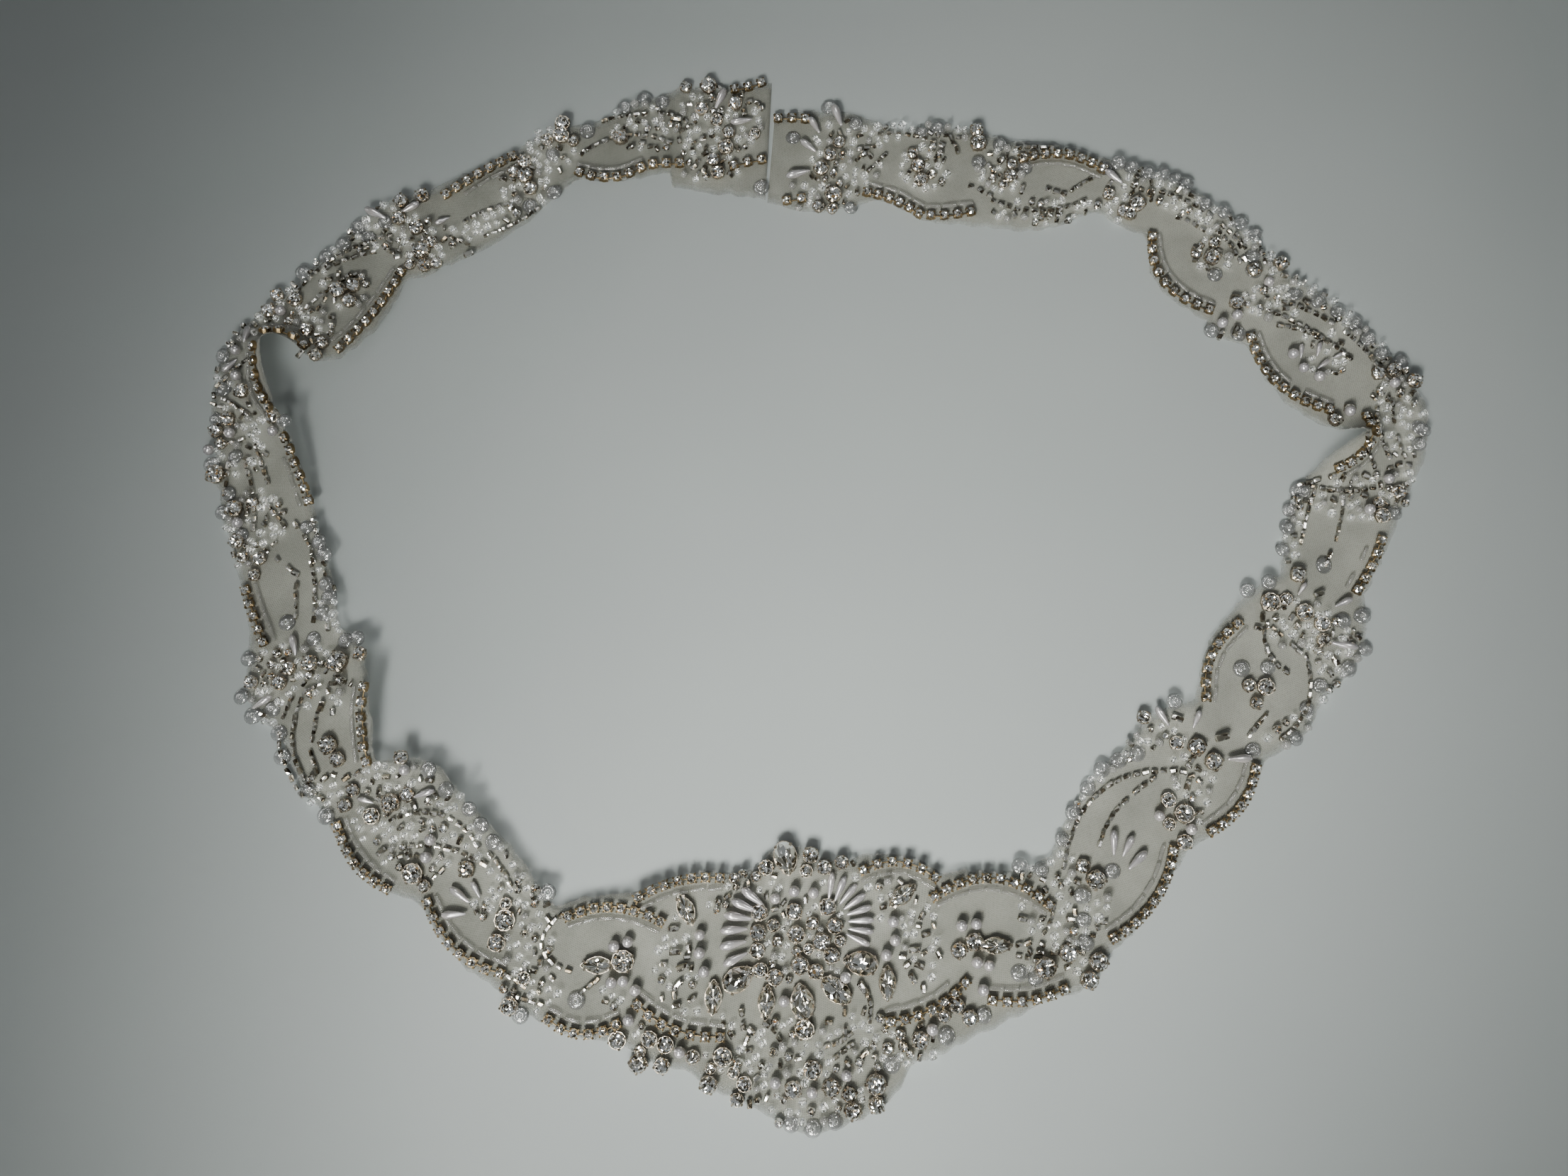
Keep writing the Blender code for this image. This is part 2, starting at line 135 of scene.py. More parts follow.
# Soft creases across the band, as ridges from start to end.
crease = namedtuple("crease", "start end width height")
creases = [
    crease((-104.0, -72.0), (-113.0, -88.0), 5.0, 1.3),
    crease((-130.0, -44.0), (-150.0, -43.0), 6.0, 1.6),
    crease((-131.0, -56.0), (-146.0, -64.0), 5.0, 1.0),
    crease((-150.0, 2.0), (-165.0, -4.0), 5.5, 0.9),
    crease((-163.0, 45.0), (-182.0, 50.0), 6.0, 1.5),
    crease((-168.0, 66.0), (-182.0, 70.0), 4.5, 1.6),
    crease((-150.0, 72.0), (-158.0, 86.0), 5.0, 1.0),
    crease((-120.0, 98.0), (-128.0, 112.0), 5.0, 1.0),
    crease((-52.0, -99.0), (-46.0, -116.0), 5.5, 0.9),
    crease((56.0, -94.0), (52.0, -110.0), 6.0, 0.8),
    crease((108.0, -46.0), (118.0, -58.0), 5.0, 0.9),
    crease((136.0, -6.0), (152.0, -16.0), 5.0, 1.0),
    crease((164.0, 38.0), (182.0, 46.0), 5.0, 1.5),
    crease((136.0, 72.0), (148.0, 84.0), 4.5, 0.9),
    crease((106.0, 106.0), (118.0, 120.0), 5.0, 0.8),
    crease((52.0, 112.0), (56.0, 130.0), 6.0, 0.8),
]

netSizes = {
    "sectionsPerCell": 16,
    "pointsAcross": 17,
    "cornerSoftening": 0.3,
    "softeningRounds": 9,
    "liftCurve": 2.2,       # how late a raised edge leaves the table
    "clearance": 0.12,      # under the net where it lies flat
    "thickness": 0.3,
    "rippleHeight": 0.55,
    "rippleLength": 15.0,
    "edgeInset": (2.0, 1.5),    # cut back to the beading: outer edge, inner edge
    "edgeWander": 1.0,      # how unevenly the edge is cut
    "edgeWanderLength": 3.2,
    "rimWidth": 3.6,        # where the edge is worn thin
}


def awayBulge(here, there, opposite, bulge):    # turns a bulge away from the band's other edge
    chord = Vector(there) - Vector(here)
    left = Vector((-chord.y, chord.x))
    away = (Vector(here) + Vector(there)) * 0.5 - opposite
    return bulge if left.dot(away) > 0.0 else -bulge


def bandSections(waists):       # rows of (outer point, inner point, outer lift, inner lift)
    sections = []
    steps = netSizes["sectionsPerCell"]
    for here, there in zip(waists, waists[1:]):
        outerMiddle = (Vector(here.outer) + Vector(there.outer)) * 0.5
        innerMiddle = (Vector(here.inner) + Vector(there.inner)) * 0.5
        outerBulge = awayBulge(here.outer, there.outer, innerMiddle, here.outerBulge)
        innerBulge = awayBulge(here.inner, there.inner, outerMiddle, here.innerBulge)
        for step in range(steps):
            share = step / steps
            eased = share * share * (3.0 - 2.0 * share)
            sections.append((
                arcPoint(here.outer, there.outer, outerBulge, share),
                arcPoint(here.inner, there.inner, innerBulge, share),
                here.outerLift + (there.outerLift - here.outerLift) * eased,
                here.innerLift + (there.innerLift - here.innerLift) * eased,
            ))
    last = waists[-1]
    sections.append((Vector(last.outer), Vector(last.inner), last.outerLift, last.innerLift))
    return sections


def softened(points):
    share = netSizes["cornerSoftening"]
    for _ in range(netSizes["softeningRounds"]):
        inside = [
            point.lerp((before + after) * 0.5, share)
            for before, point, after in zip(points, points[1:], points[2:])
        ]
        points = [points[0]] + inside + [points[-1]]
    return points


def creaseHeight(flat):
    height = 0.0
    for row in creases:
        start, along = Vector(row.start), Vector(row.end) - Vector(row.start)
        share = max(0.0, min(1.0, (flat - start).dot(along) / along.length_squared))
        distance = (flat - start - along * share).length
        fade = 0.4 + 0.6 * math.sin(math.pi * (0.25 + 0.5 * share))
        height += row.height * fade * math.exp(-(distance / row.width) ** 2)
    return height


def netHeight(flat, share, outerLift, innerLift):
    ripple = noise.noise(Vector((flat.x, flat.y, 3.0)) / netSizes["rippleLength"]) + 0.5
    lift = outerLift * (1.0 - share) ** netSizes["liftCurve"] + innerLift * share ** netSizes["liftCurve"]
    return netSizes["clearance"] + lift + netSizes["rippleHeight"] * max(0.0, ripple) + creaseHeight(flat)


def cutEdge(point, inwards, side):      # a hand-cut edge wanders a little
    size = netSizes["edgeWander"]
    wander = noise.noise(Vector((point.x, point.y, 8.0 * side)) / netSizes["edgeWanderLength"])
    return point + inwards * (netSizes["edgeInset"][side] + size * wander)


def makeNet():
    sections = bandSections(leftArm)[::-1] + bandSections(medallion)[1:-1] + bandSections(rightArm)
    outerEdge = softened([row[0] for row in sections])
    innerEdge = softened([row[1] for row in sections])
    across = netSizes["pointsAcross"]
    lower, cut, widths, length, cutArea, before = [], [], [], 0.0, 0.0, None
    for outer, inner, row in zip(outerEdge, innerEdge, sections):
        inwards = (inner - outer).normalized()
        outer, inner = cutEdge(outer, inwards, 0), cutEdge(inner, -inwards, 1)
        middle = (outer + inner) * 0.5
        widths.append((inner - outer).length)
        if before is not None:          # the strip as it was cut, before it was laid and lifted
            step = (middle - before).length
            length += step
            cutArea += step * (widths[-1] + widths[-2]) * 0.5
        before = middle
        for index in range(across):
            share = index / (across - 1)
            flat = outer.lerp(inner, share)
            lower.append(Vector((*flat, netHeight(flat, share, row[2], row[3]))))
            cut.append((length / 100.0, (share - 0.5) * (inner - outer).length / 100.0))
    count, rows = len(lower), len(sections)
    upper = [place + up * netSizes["thickness"] for place in lower]
    faces = []
    for row in range(rows - 1):
        for index in range(across - 1):
            first = row * across + index
            quad = (first, first + 1, first + across + 1, first + across)
            faces += [quad, tuple(corner + count for corner in reversed(quad))]
        for first in (row * across, row * across + across - 1):
            faces.append((first, first + across, first + across + count, first + count))
    for row in (0, rows - 1):
        for first in range(row * across, row * across + across - 1):
            faces.append((first, first + 1, first + 1 + count, first + count))
    mesh = bpy.data.meshes.new("netShape")
    mesh.from_pydata([place * mm for place in lower + upper], [], faces)
    shape = bmesh.new()
    shape.from_mesh(mesh)
    net = fromShape("netBase", shape)
    bpy.data.meshes.remove(mesh)
    cutMap = net.data.uv_layers.new(name="cut")
    for loop in net.data.loops:
        cutMap.data[loop.index].uv = cut[loop.vertex_index % count]
    inside = net.data.attributes.new("inside", "FLOAT", "POINT")    # how far in from the cut edge
    for index in range(2 * count):
        row, place = divmod(index % count, across)
        edge = lower[row * across + (0 if place < across // 2 else across - 1)]
        inside.data[index].value = min(1.0, (lower[index % count] - edge).length / netSizes["rimWidth"])
    return net, {"flat": (max(widths) * mm, length * mm), "area": cutArea * mm * mm}


print("net")
netBase, netCut = makeNet()
netTop = BVHTree.FromPolygons(
    [vertex.co / mm for vertex in netBase.data.vertices],
    [list(face.vertices) for face in netBase.data.polygons],
)


edgeReach = 1.3                 # how far a piece may hang out past the net's edge


def standing(place, normal, heading, lift):     # place and turn of a piece lying on the net
    stands = normal.lerp(up, 0.25).normalized()
    along = Vector((math.cos(heading), math.sin(heading), 0.0))
    along = (along - stands * along.dot(stands)).normalized()
    turn = Matrix((along, stands.cross(along), stands)).transposed().to_euler()
    return place + stands * lift, turn


def netUnder(x, y):             # straight down
    hit = netTop.ray_cast(Vector((x, y, 100.0)), -up)
    if hit[0] is None:
        hit = netTop.find_nearest(Vector((x, y, 1.0)))
        return Vector((x, y, hit[0].z)), up
    return hit[0], hit[1]


def netSeen(x, y):              # along the camera's line to a place on the table
    towards = Vector((x, y, 0.0)) - cameraPlace
    hit = netTop.ray_cast(cameraPlace, towards.normalized())
    if hit[0] is None:          # just off the edge: held by its thread, a little out from the net
        near = netTop.find_nearest(Vector((x, y, 0.6)))[0]
        out = cameraPlace.xy + towards.xy * (1.0 - near.z / cameraPlace.z) - near.xy
        out = out.normalized() * min(out.length, edgeReach)
        return Vector((*(near.xy + out), near.z)), up
    slope = hit[1] if hit[1].z > 0.0 else -hit[1]
    return hit[0], slope if slope.z > 0.5 else up      # nothing lies on the net's side walls


def liveSocket(sockets, name):
    return next(socket for socket in sockets if socket.enabled and socket.name == name)


class treeBuilder:              # short calls for adding and linking nodes
    def __init__(self, tree):
        self.tree = tree

    def put(self, socket, value):
        if isinstance(value, bpy.types.NodeSocket):
            self.tree.links.new(value, socket)
        else:
            socket.default_value = value

    def add(self, kind, settings, values):
        node = self.tree.nodes.new(kind)
        for name, value in settings.items():
            setattr(node, name, value)
        for name, value in values.items():
            self.put(liveSocket(node.inputs, name), value)
        return node

    def get(self, kind, settings, values, output):
        return liveSocket(self.add(kind, settings, values).outputs, output)

    def calc(self, operation, *values):
        node = self.add("ShaderNodeMath", {"operation": operation}, {})
        for socket, value in zip(node.inputs, values):
            self.put(socket, value)
        return node.outputs["Value"]


def newGroup(name, kind, inputs, outputs):      # an empty tree with named sockets
    tree = bpy.data.node_groups.new(name, kind)
    for label, socket, value in inputs:
        made = tree.interface.new_socket(label, in_out="INPUT", socket_type="NodeSocket" + socket)
        if value is not None:
            made.default_value = value
    for label, socket in outputs:
        tree.interface.new_socket(label, in_out="OUTPUT", socket_type="NodeSocket" + socket)
    build = treeBuilder(tree)
    return build, tree.nodes.new("NodeGroupInput").outputs, tree.nodes.new("NodeGroupOutput").inputs


def spread(build, centre, amount, seed):        # a random number within amount of centre
    low, high = build.calc("SUBTRACT", centre, amount), build.calc("ADD", centre, amount)
    return build.get("FunctionNodeRandomValue", {"data_type": "FLOAT"},
                     {"Min": low, "Max": high, "Seed": seed}, "Value")


def randomTilt(build, given, rotation):         # tips a piece a little any way
    tips = [spread(build, 0.0, given["Tilt"], build.calc("ADD", given["Seed"], 5.0 + k)) for k in range(3)]
    euler = build.get("ShaderNodeCombineXYZ", {}, {"X": tips[0], "Y": tips[1], "Z": tips[2]}, "Vector")
    turn = build.get("FunctionNodeEulerToRotation", {}, {"Euler": euler}, "Rotation")
    return build.get("FunctionNodeRotateRotation", {"rotation_space": "LOCAL"},
                     {"Rotation": rotation, "Rotate By": turn}, "Rotation")


def placePieces(build, given, points, rotation, scale, selection=True):
    piece = build.get("GeometryNodeObjectInfo", {}, {"Object": given["Piece"]}, "Geometry")
    placed = build.get("GeometryNodeInstanceOnPoints", {}, {
        "Points": points, "Selection": selection, "Instance": piece, "Rotation": rotation, "Scale": scale,
    }, "Instances")
    real = build.get("GeometryNodeRealizeInstances", {}, {"Geometry": placed}, "Geometry")
    return build.get("GeometryNodeSetMaterial", {}, {
        "Geometry": real, "Material": given["Finish"]}, "Geometry")


pieceInputs = [
    ("Geometry", "Geometry", None), ("Piece", "Object", None), ("Finish", "Material", None),
    ("Size", "Float", 1.0), ("Size Spread", "Float", 0.0), ("Tilt", "Float", 0.0), ("Seed", "Int", 1),
]


def sewnPieceTree():            # one piece at every point, turned as the point says
    build, given, result = newGroup("sewnPieces", "GeometryNodeTree", pieceInputs, [("Geometry", "Geometry")])
    turn = build.get("GeometryNodeInputNamedAttribute", {"data_type": "FLOAT_VECTOR"},
                     {"Name": "turn"}, "Attribute")
    size = build.get("GeometryNodeInputNamedAttribute", {"data_type": "FLOAT"}, {"Name": "size"}, "Attribute")
    rotation = build.get("FunctionNodeEulerToRotation", {}, {"Euler": turn}, "Rotation")
    varied = build.calc("MULTIPLY", size, spread(build, 1.0, given["Size Spread"], given["Seed"]))
    placed = placePieces(build, given, given["Geometry"], randomTilt(build, given, rotation),
                         build.calc("MULTIPLY", varied, given["Size"]))
    build.put(result["Geometry"], placed)
    return build.tree


def stringTree():               # pieces evenly along each line
    inputs = pieceInputs + [("Spacing", "Float", 0.003), ("Missing", "Float", 0.0)]
    build, given, result = newGroup("alongLines", "GeometryNodeTree", inputs, [("Geometry", "Geometry")])
    line = build.get("GeometryNodeMeshToCurve", {}, {"Mesh": given["Geometry"]}, "Curve")
    length = build.get("GeometryNodeSplineLength", {}, {}, "Length")
    gaps = build.calc("ROUND", build.calc("DIVIDE", length, given["Spacing"]))
    count = build.calc("MAXIMUM", build.calc("ADD", gaps, 1.0), 2.0)
    even = build.get("GeometryNodeResampleCurve", {"mode": "COUNT"}, {"Curve": line, "Count": count}, "Curve")
    tangent = build.get("GeometryNodeInputTangent", {}, {}, "Tangent")
    stands = build.get("GeometryNodeInputNamedAttribute", {"data_type": "FLOAT_VECTOR"},
                       {"Name": "stands"}, "Attribute")
    along = build.get("FunctionNodeAlignRotationToVector", {"axis": "X"}, {"Vector": tangent}, "Rotation")
    upright = build.get("FunctionNodeAlignRotationToVector", {"axis": "Z", "pivot_axis": "X"},
                        {"Rotation": along, "Vector": stands}, "Rotation")
    luck = build.get("FunctionNodeRandomValue", {"data_type": "FLOAT"},
                     {"Min": 0.0, "Max": 1.0, "Seed": build.calc("ADD", given["Seed"], 31.0)}, "Value")
    kept = build.calc("GREATER_THAN", luck, given["Missing"])
    varied = spread(build, 1.0, given["Size Spread"], given["Seed"])
    placed = placePieces(build, given, even, randomTilt(build, given, upright),
                         build.calc("MULTIPLY", varied, given["Size"]), kept)
    build.put(result["Geometry"], placed)
    return build.tree


def threadTree():               # a round thread or link along each line
    inputs = [("Geometry", "Geometry", None), ("Finish", "Material", None),
              ("Thickness", "Float", 0.001), ("Sides", "Int", 6)]
    build, given, result = newGroup("threadOnLines", "GeometryNodeTree", inputs, [("Geometry", "Geometry")])
    line = build.get("GeometryNodeMeshToCurve", {}, {"Mesh": given["Geometry"]}, "Curve")
    ring = build.get("GeometryNodeCurvePrimitiveCircle", {}, {
        "Resolution": given["Sides"], "Radius": build.calc("MULTIPLY", given["Thickness"], 0.5)}, "Curve")
    tube = build.get("GeometryNodeCurveToMesh", {},
                     {"Curve": line, "Profile Curve": ring, "Fill Caps": True}, "Mesh")
    real = build.get("GeometryNodeRealizeInstances", {}, {"Geometry": tube}, "Geometry")
    done = build.get("GeometryNodeSetMaterial", {}, {
        "Geometry": real, "Material": given["Finish"]}, "Geometry")
    build.put(result["Geometry"], done)
    return build.tree


sewnPieces, alongLines, threadOnLines = sewnPieceTree(), stringTree(), threadTree()


def grown(name, source, tree, values):          # runs a tree and keeps its result as a plain mesh
    modifier = source.modifiers.new(tree.name, "NODES")
    modifier.node_group = tree
    for item in tree.interface.items_tree:
        if item.in_out == "INPUT" and item.name in values:
            modifier[item.identifier] = values[item.name]
    graph = bpy.context.evaluated_depsgraph_get()
    mesh = bpy.data.meshes.new_from_object(source.evaluated_get(graph))
    bpy.data.objects.remove(source)
    mesh.name = name
    return meshObject(name, mesh)


def pointsObject(name, rows):                   # rows of (place, turn, size)
    mesh = bpy.data.meshes.new(name)
    mesh.from_pydata([place * mm for place, _, _ in rows], [], [])
    mesh.attributes.new("turn", "FLOAT_VECTOR", "POINT").data.foreach_set(
        "vector", [angle for _, turn, _ in rows for angle in turn])
    mesh.attributes.new("size", "FLOAT", "POINT").data.foreach_set("value", [size for _, _, size in rows])
    return meshObject(name, mesh)


def linesObject(name, lines):                   # lines of (place, the way the net faces there)
    places, edges, faces = [], [], []
    for line in lines:
        first = len(places)
        places.extend(place * mm for place, _ in line)
        faces.extend(normal for _, normal in line)
        edges.extend((first + k, first + k + 1) for k in range(len(line) - 1))
    mesh = bpy.data.meshes.new(name)
    mesh.from_pydata(places, edges, [])
    mesh.attributes.new("stands", "FLOAT_VECTOR", "POINT").data.foreach_set(
        "vector", [part for normal in faces for part in normal])
    return meshObject(name, mesh)


print("finishes")


def facetScatterGroup():        # the many mirrors seen inside a cut stone
    build, given, result = newGroup("facetScatter", "ShaderNodeTree", [
        ("Vector", "Vector", None), ("Cell", "Float", 0.001), ("Scatter", "Float", 0.5),
    ], [("Normal", "Vector"), ("Cell Value", "Float"), ("Cell Colour", "Color")])
    scaled = build.add("ShaderNodeVectorMath", {"operation": "SCALE"}, {"Vector": given["Vector"]})
    build.put(scaled.inputs["Scale"], build.calc("DIVIDE", 1.0, given["Cell"]))
    cells = build.add("ShaderNodeTexVoronoi", {"voronoi_dimensions": "3D", "feature": "F1"},
                      {"Vector": scaled.outputs["Vector"], "Scale": 1.0})
    colour = cells.outputs["Color"]
    centred = build.add("ShaderNodeVectorMath", {"operation": "SUBTRACT"}, {})
    build.put(centred.inputs[0], colour)
    build.put(centred.inputs[1], (0.5, 0.5, 0.5))
    tilted = build.add("ShaderNodeVectorMath", {"operation": "SCALE"}, {"Vector": centred.outputs["Vector"]})
    build.put(tilted.inputs["Scale"], given["Scatter"])
    surface = build.get("ShaderNodeNewGeometry", {}, {}, "Normal")
    joined = build.add("ShaderNodeVectorMath", {"operation": "ADD"}, {})
    build.put(joined.inputs[0], surface)
    build.put(joined.inputs[1], tilted.outputs["Vector"])
    facing = build.add("ShaderNodeVectorMath", {"operation": "NORMALIZE"}, {
        "Vector": joined.outputs["Vector"]})
    build.put(result["Normal"], facing.outputs["Vector"])
    value = build.get("ShaderNodeSeparateColor", {}, {"Color": colour}, "Red")
    build.put(result["Cell Value"], value)
    build.put(result["Cell Colour"], colour)
    return build.tree


def handledGroup():             # fine and broad unevenness of a handled surface
    build, given, result = newGroup("handledSurface", "ShaderNodeTree", [
        ("Vector", "Vector", None), ("Fine", "Float", 900.0), ("Broad", "Float", 60.0),
    ], [("Fine", "Float"), ("Broad", "Float")])
    for name, detail in (("Fine", 3.0), ("Broad", 2.0)):
        grain = build.get("ShaderNodeTexNoise", {}, {
            "Vector": given["Vector"], "Scale": given[name], "Detail": detail, "Roughness": 0.6}, "Fac")
        build.put(result[name], grain)
    return build.tree


def tulleWeaveGroup():          # six-sided holes between fine threads
    build, given, result = newGroup("tulleWeave", "ShaderNodeTree", [
        ("Vector", "Vector", None), ("Pitch", "Float", 0.01), ("Hole", "Float", 0.3), ("Edge", "Float", 0.5),
    ], [("Thread", "Float"), ("Height", "Float")])
    waves = []
    for angle in (0.0, 60.0, 120.0):
        way = (math.cos(math.radians(angle)), math.sin(math.radians(angle)), 0.0)
        dot = build.add("ShaderNodeVectorMath", {"operation": "DOT_PRODUCT"}, {})
        build.put(dot.inputs[0], given["Vector"])
        build.put(dot.inputs[1], way)
        turns = build.calc("DIVIDE", dot.outputs["Value"], given["Pitch"])
        waves.append(build.calc("COSINE", build.calc("MULTIPLY", turns, 2.0 * math.pi * 1.1547)))
    total = build.calc("ADD", build.calc("ADD", waves[0], waves[1]), waves[2])
    top = build.calc("ADD", given["Hole"], given["Edge"])
    thread = build.get("ShaderNodeMapRange", {"interpolation_type": "SMOOTHSTEP"}, {
        "Value": total, "From Min": given["Hole"], "From Max": top, "To Min": 1.0, "To Max": 0.0}, "Result")
    build.put(result["Thread"], thread)
    build.put(result["Height"], build.calc("MULTIPLY", thread, 1.0))
    return build.tree


facetScatter, handledSurface, tulleWeave = facetScatterGroup(), handledGroup(), tulleWeaveGroup()


def newFinish(name, plain):     # a material, its builder and its shader
    material = bpy.data.materials.new(name)
    material.use_nodes = True
    shader = material.node_tree.nodes["Principled BSDF"]
    for socket, value in plain.items():
        shader.inputs[socket].default_value = value
    build = treeBuilder(material.node_tree)
    return material, build, shader.inputs


def objectPlace(build):
    return build.get("ShaderNodeTexCoord", {}, {}, "Object")


def groupNode(build, tree, values):
    node = build.add("ShaderNodeGroup", {"node_tree": tree}, {})
    for name, value in values.items():
        build.put(node.inputs[name], value)
    return node.outputs


def ramp(build, value, stops, interpolation="LINEAR"):
    node = build.add("ShaderNodeValToRGB", {}, {"Fac": value})
    node.color_ramp.interpolation = interpolation
    while len(node.color_ramp.elements) < len(stops):
        node.color_ramp.elements.new(1.0)
    for element, (position, colour) in zip(node.color_ramp.elements, stops):
        element.position, element.color = position, (*colour, 1.0)
    return node.outputs["Color"]


def mapped(build, value, low, high):
    return build.get("ShaderNodeMapRange", {}, {"Value": value, "To Min": low, "To Max": high}, "Result")


def bumped(build, height, strength, depth, normal=None):
    values = {"Height": height, "Strength": strength, "Distance": depth}
    if normal is not None:
        values["Normal"] = normal
    return build.get("ShaderNodeBump", {}, values, "Normal")


def netFinish():
    material, build, shader = newFinish("netCloth", {"Roughness": 0.85, "Sheen Weight": 0.25,
                                                     "Specular IOR Level": 0.25})
    cut = build.get("ShaderNodeUVMap", {"uv_map": "cut"}, {}, "UV")
    place = objectPlace(build)
    uneven = groupNode(build, handledSurface, {"Vector": place, "Fine": 1500.0, "Broad": 70.0})
    weave = groupNode(build, tulleWeave, {"Vector": cut, "Pitch": 0.0062, "Hole": 0.1, "Edge": 1.2})
    tone = build.calc("ADD", build.calc("MULTIPLY", uneven["Broad"], 0.7),
                      build.calc("MULTIPLY", uneven["Fine"], 0.3))
    # painted shade: the net's colour is made greyer towards the front edge and the back, where less lamp
    # light falls
    depth = build.get("ShaderNodeSeparateXYZ", {}, {"Vector": place}, "Y")      # greyer at the front and back
    for start, end, first, last in ((-0.14, -0.03, -0.22, 0.12), (0.11, 0.15, 0.0, -0.3)):
        tone = build.calc("ADD", tone, build.get("ShaderNodeMapRange", {}, {
            "Value": depth, "From Min": start, "From Max": end, "To Min": first, "To Max": last}, "Result"))
    build.put(shader["Base Color"], ramp(build, tone, [
        (0.25, (0.285, 0.29, 0.247)), (0.52, (0.37, 0.375, 0.325)), (0.75, (0.45, 0.455, 0.397))]))
    holes = mapped(build, weave["Thread"], 0.64, 0.84)
    rim = build.get("ShaderNodeAttribute", {"attribute_name": "inside"}, {}, "Fac")
    rim = build.calc("ADD", rim, mapped(build, uneven["Fine"], -0.25, 0.25))
    worn = build.calc("MULTIPLY", mapped(build, rim, 0.2, 1.0), mapped(build, uneven["Broad"], 0.88, 1.04))
    shadow = build.get("ShaderNodeLightPath", {}, {}, "Is Shadow Ray")      # light comes through the weave
    worn = build.calc("MULTIPLY", worn, mapped(build, shadow, 1.0, 0.5))
    build.put(shader["Alpha"], build.calc("MULTIPLY", holes, worn))
    height = build.calc("ADD", weave["Height"], build.calc("MULTIPLY", uneven["Fine"], 0.5))
    build.put(shader["Normal"], bumped(build, height, 0.3, 0.0002))
    return material


def longFacets(build, place):   # sectors round a stone's heart, a few steps deep
    ray = build.get("ShaderNodeAttribute", {"attribute_name": "ray"}, {}, "Vector")
    way = build.add("ShaderNodeVectorMath", {"operation": "NORMALIZE"}, {"Vector": ray}).outputs["Vector"]
    sector = build.add("ShaderNodeVectorMath", {"operation": "SCALE"}, {"Vector": way, "Scale": 3.4})
    steps = build.calc("MULTIPLY", build.add("ShaderNodeVectorMath", {"operation": "LENGTH"}, {
        "Vector": ray}).outputs["Value"], 2.1)
    deep = build.get("ShaderNodeCombineXYZ", {}, {"Z": steps}, "Vector")
    drift = build.add("ShaderNodeVectorMath", {"operation": "SCALE"}, {"Vector": place, "Scale": 70.0})
    total = build.add("ShaderNodeVectorMath", {"operation": "ADD"}, {})
    build.put(total.inputs[0], sector.outputs["Vector"])
    build.put(total.inputs[1], deep)
    moved = build.add("ShaderNodeVectorMath", {"operation": "ADD"}, {})
    build.put(moved.inputs[0], total.outputs["Vector"])
    build.put(moved.inputs[1], drift.outputs["Vector"])
    return moved.outputs["Vector"]


def crystalFinish(name, cell, scatter, stops):
    material, build, shader = newFinish(name, {"Metallic": 1.0, "Coat Weight": 0.35, "Coat Roughness": 0.02})
    place = objectPlace(build)
    facets = longFacets(build, place) if cell == 1.0 else place
    inside = groupNode(build, facetScatter, {"Vector": facets, "Cell": cell, "Scatter": scatter})
    build.put(shader["Base Color"], ramp(build, inside["Cell Value"], stops, "CONSTANT"))
    uneven = groupNode(build, handledSurface, {"Vector": place, "Fine": 2500.0, "Broad": 300.0})
    build.put(shader["Roughness"], mapped(build, uneven["Broad"], 0.02, 0.09))
    build.put(shader["Normal"], inside["Normal"])
    return material


def metalFinish(name, dark, light, rough):
    material, build, shader = newFinish(name, {"Metallic": 0.9})
    uneven = groupNode(build, handledSurface, {"Vector": objectPlace(build), "Fine": 1800.0, "Broad": 160.0})
    build.put(shader["Base Color"], ramp(build, uneven["Broad"], [(0.3, dark), (0.7, light)]))
    build.put(shader["Roughness"], mapped(build, uneven["Fine"], rough, rough + 0.22))
    build.put(shader["Normal"], bumped(build, uneven["Fine"], 0.3, 0.0001))
    return material


def pearlFinish():
    material, build, shader = newFinish("pearlCoat", {
        "Coat Weight": 1.0, "Coat Roughness": 0.16, "Coat IOR": 1.8, "Metallic": 0.35,
        "Specular IOR Level": 0.8})
    uneven = groupNode(build, handledSurface, {"Vector": objectPlace(build), "Fine": 1200.0, "Broad": 220.0})
    build.put(shader["Base Color"], ramp(build, uneven["Broad"], [
        (0.3, (0.44, 0.425, 0.44)), (0.5, (0.51, 0.49, 0.49)), (0.7, (0.57, 0.54, 0.52))]))
    build.put(shader["Roughness"], mapped(build, uneven["Fine"], 0.16, 0.34))
    build.put(shader["Normal"], bumped(build, uneven["Fine"], 0.12, 0.0001))
    return material


def glassFinish(name, colours, clearness, rough, metal=0.0):
    material, build, shader = newFinish(name, {
        "IOR": 1.52, "Specular IOR Level": 0.9, "Metallic": metal, "Coat Weight": 1.0, "Coat Roughness": 0.14,
        "Coat IOR": 1.9})
    uneven = groupNode(build, handledSurface, {"Vector": objectPlace(build), "Fine": 1500.0, "Broad": 350.0})
    build.put(shader["Base Color"], ramp(build, uneven["Broad"], [(0.32, colours[0]), (0.68, colours[1])]))
    build.put(shader["Roughness"], mapped(build, uneven["Fine"], rough, rough + 0.08))
    facing = build.get("ShaderNodeLayerWeight", {}, {"Blend": 0.35}, "Facing")
    edge = build.get("ShaderNodeMapRange", {}, {
        "Value": facing, "To Min": clearness[0], "To Max": clearness[1]}, "Result")
    build.put(shader["Alpha"], build.calc("MULTIPLY", edge, mapped(build, uneven["Broad"], 0.8, 1.2)))
    build.put(shader["Normal"], bumped(build, uneven["Fine"], 0.1, 0.0001))
    return material


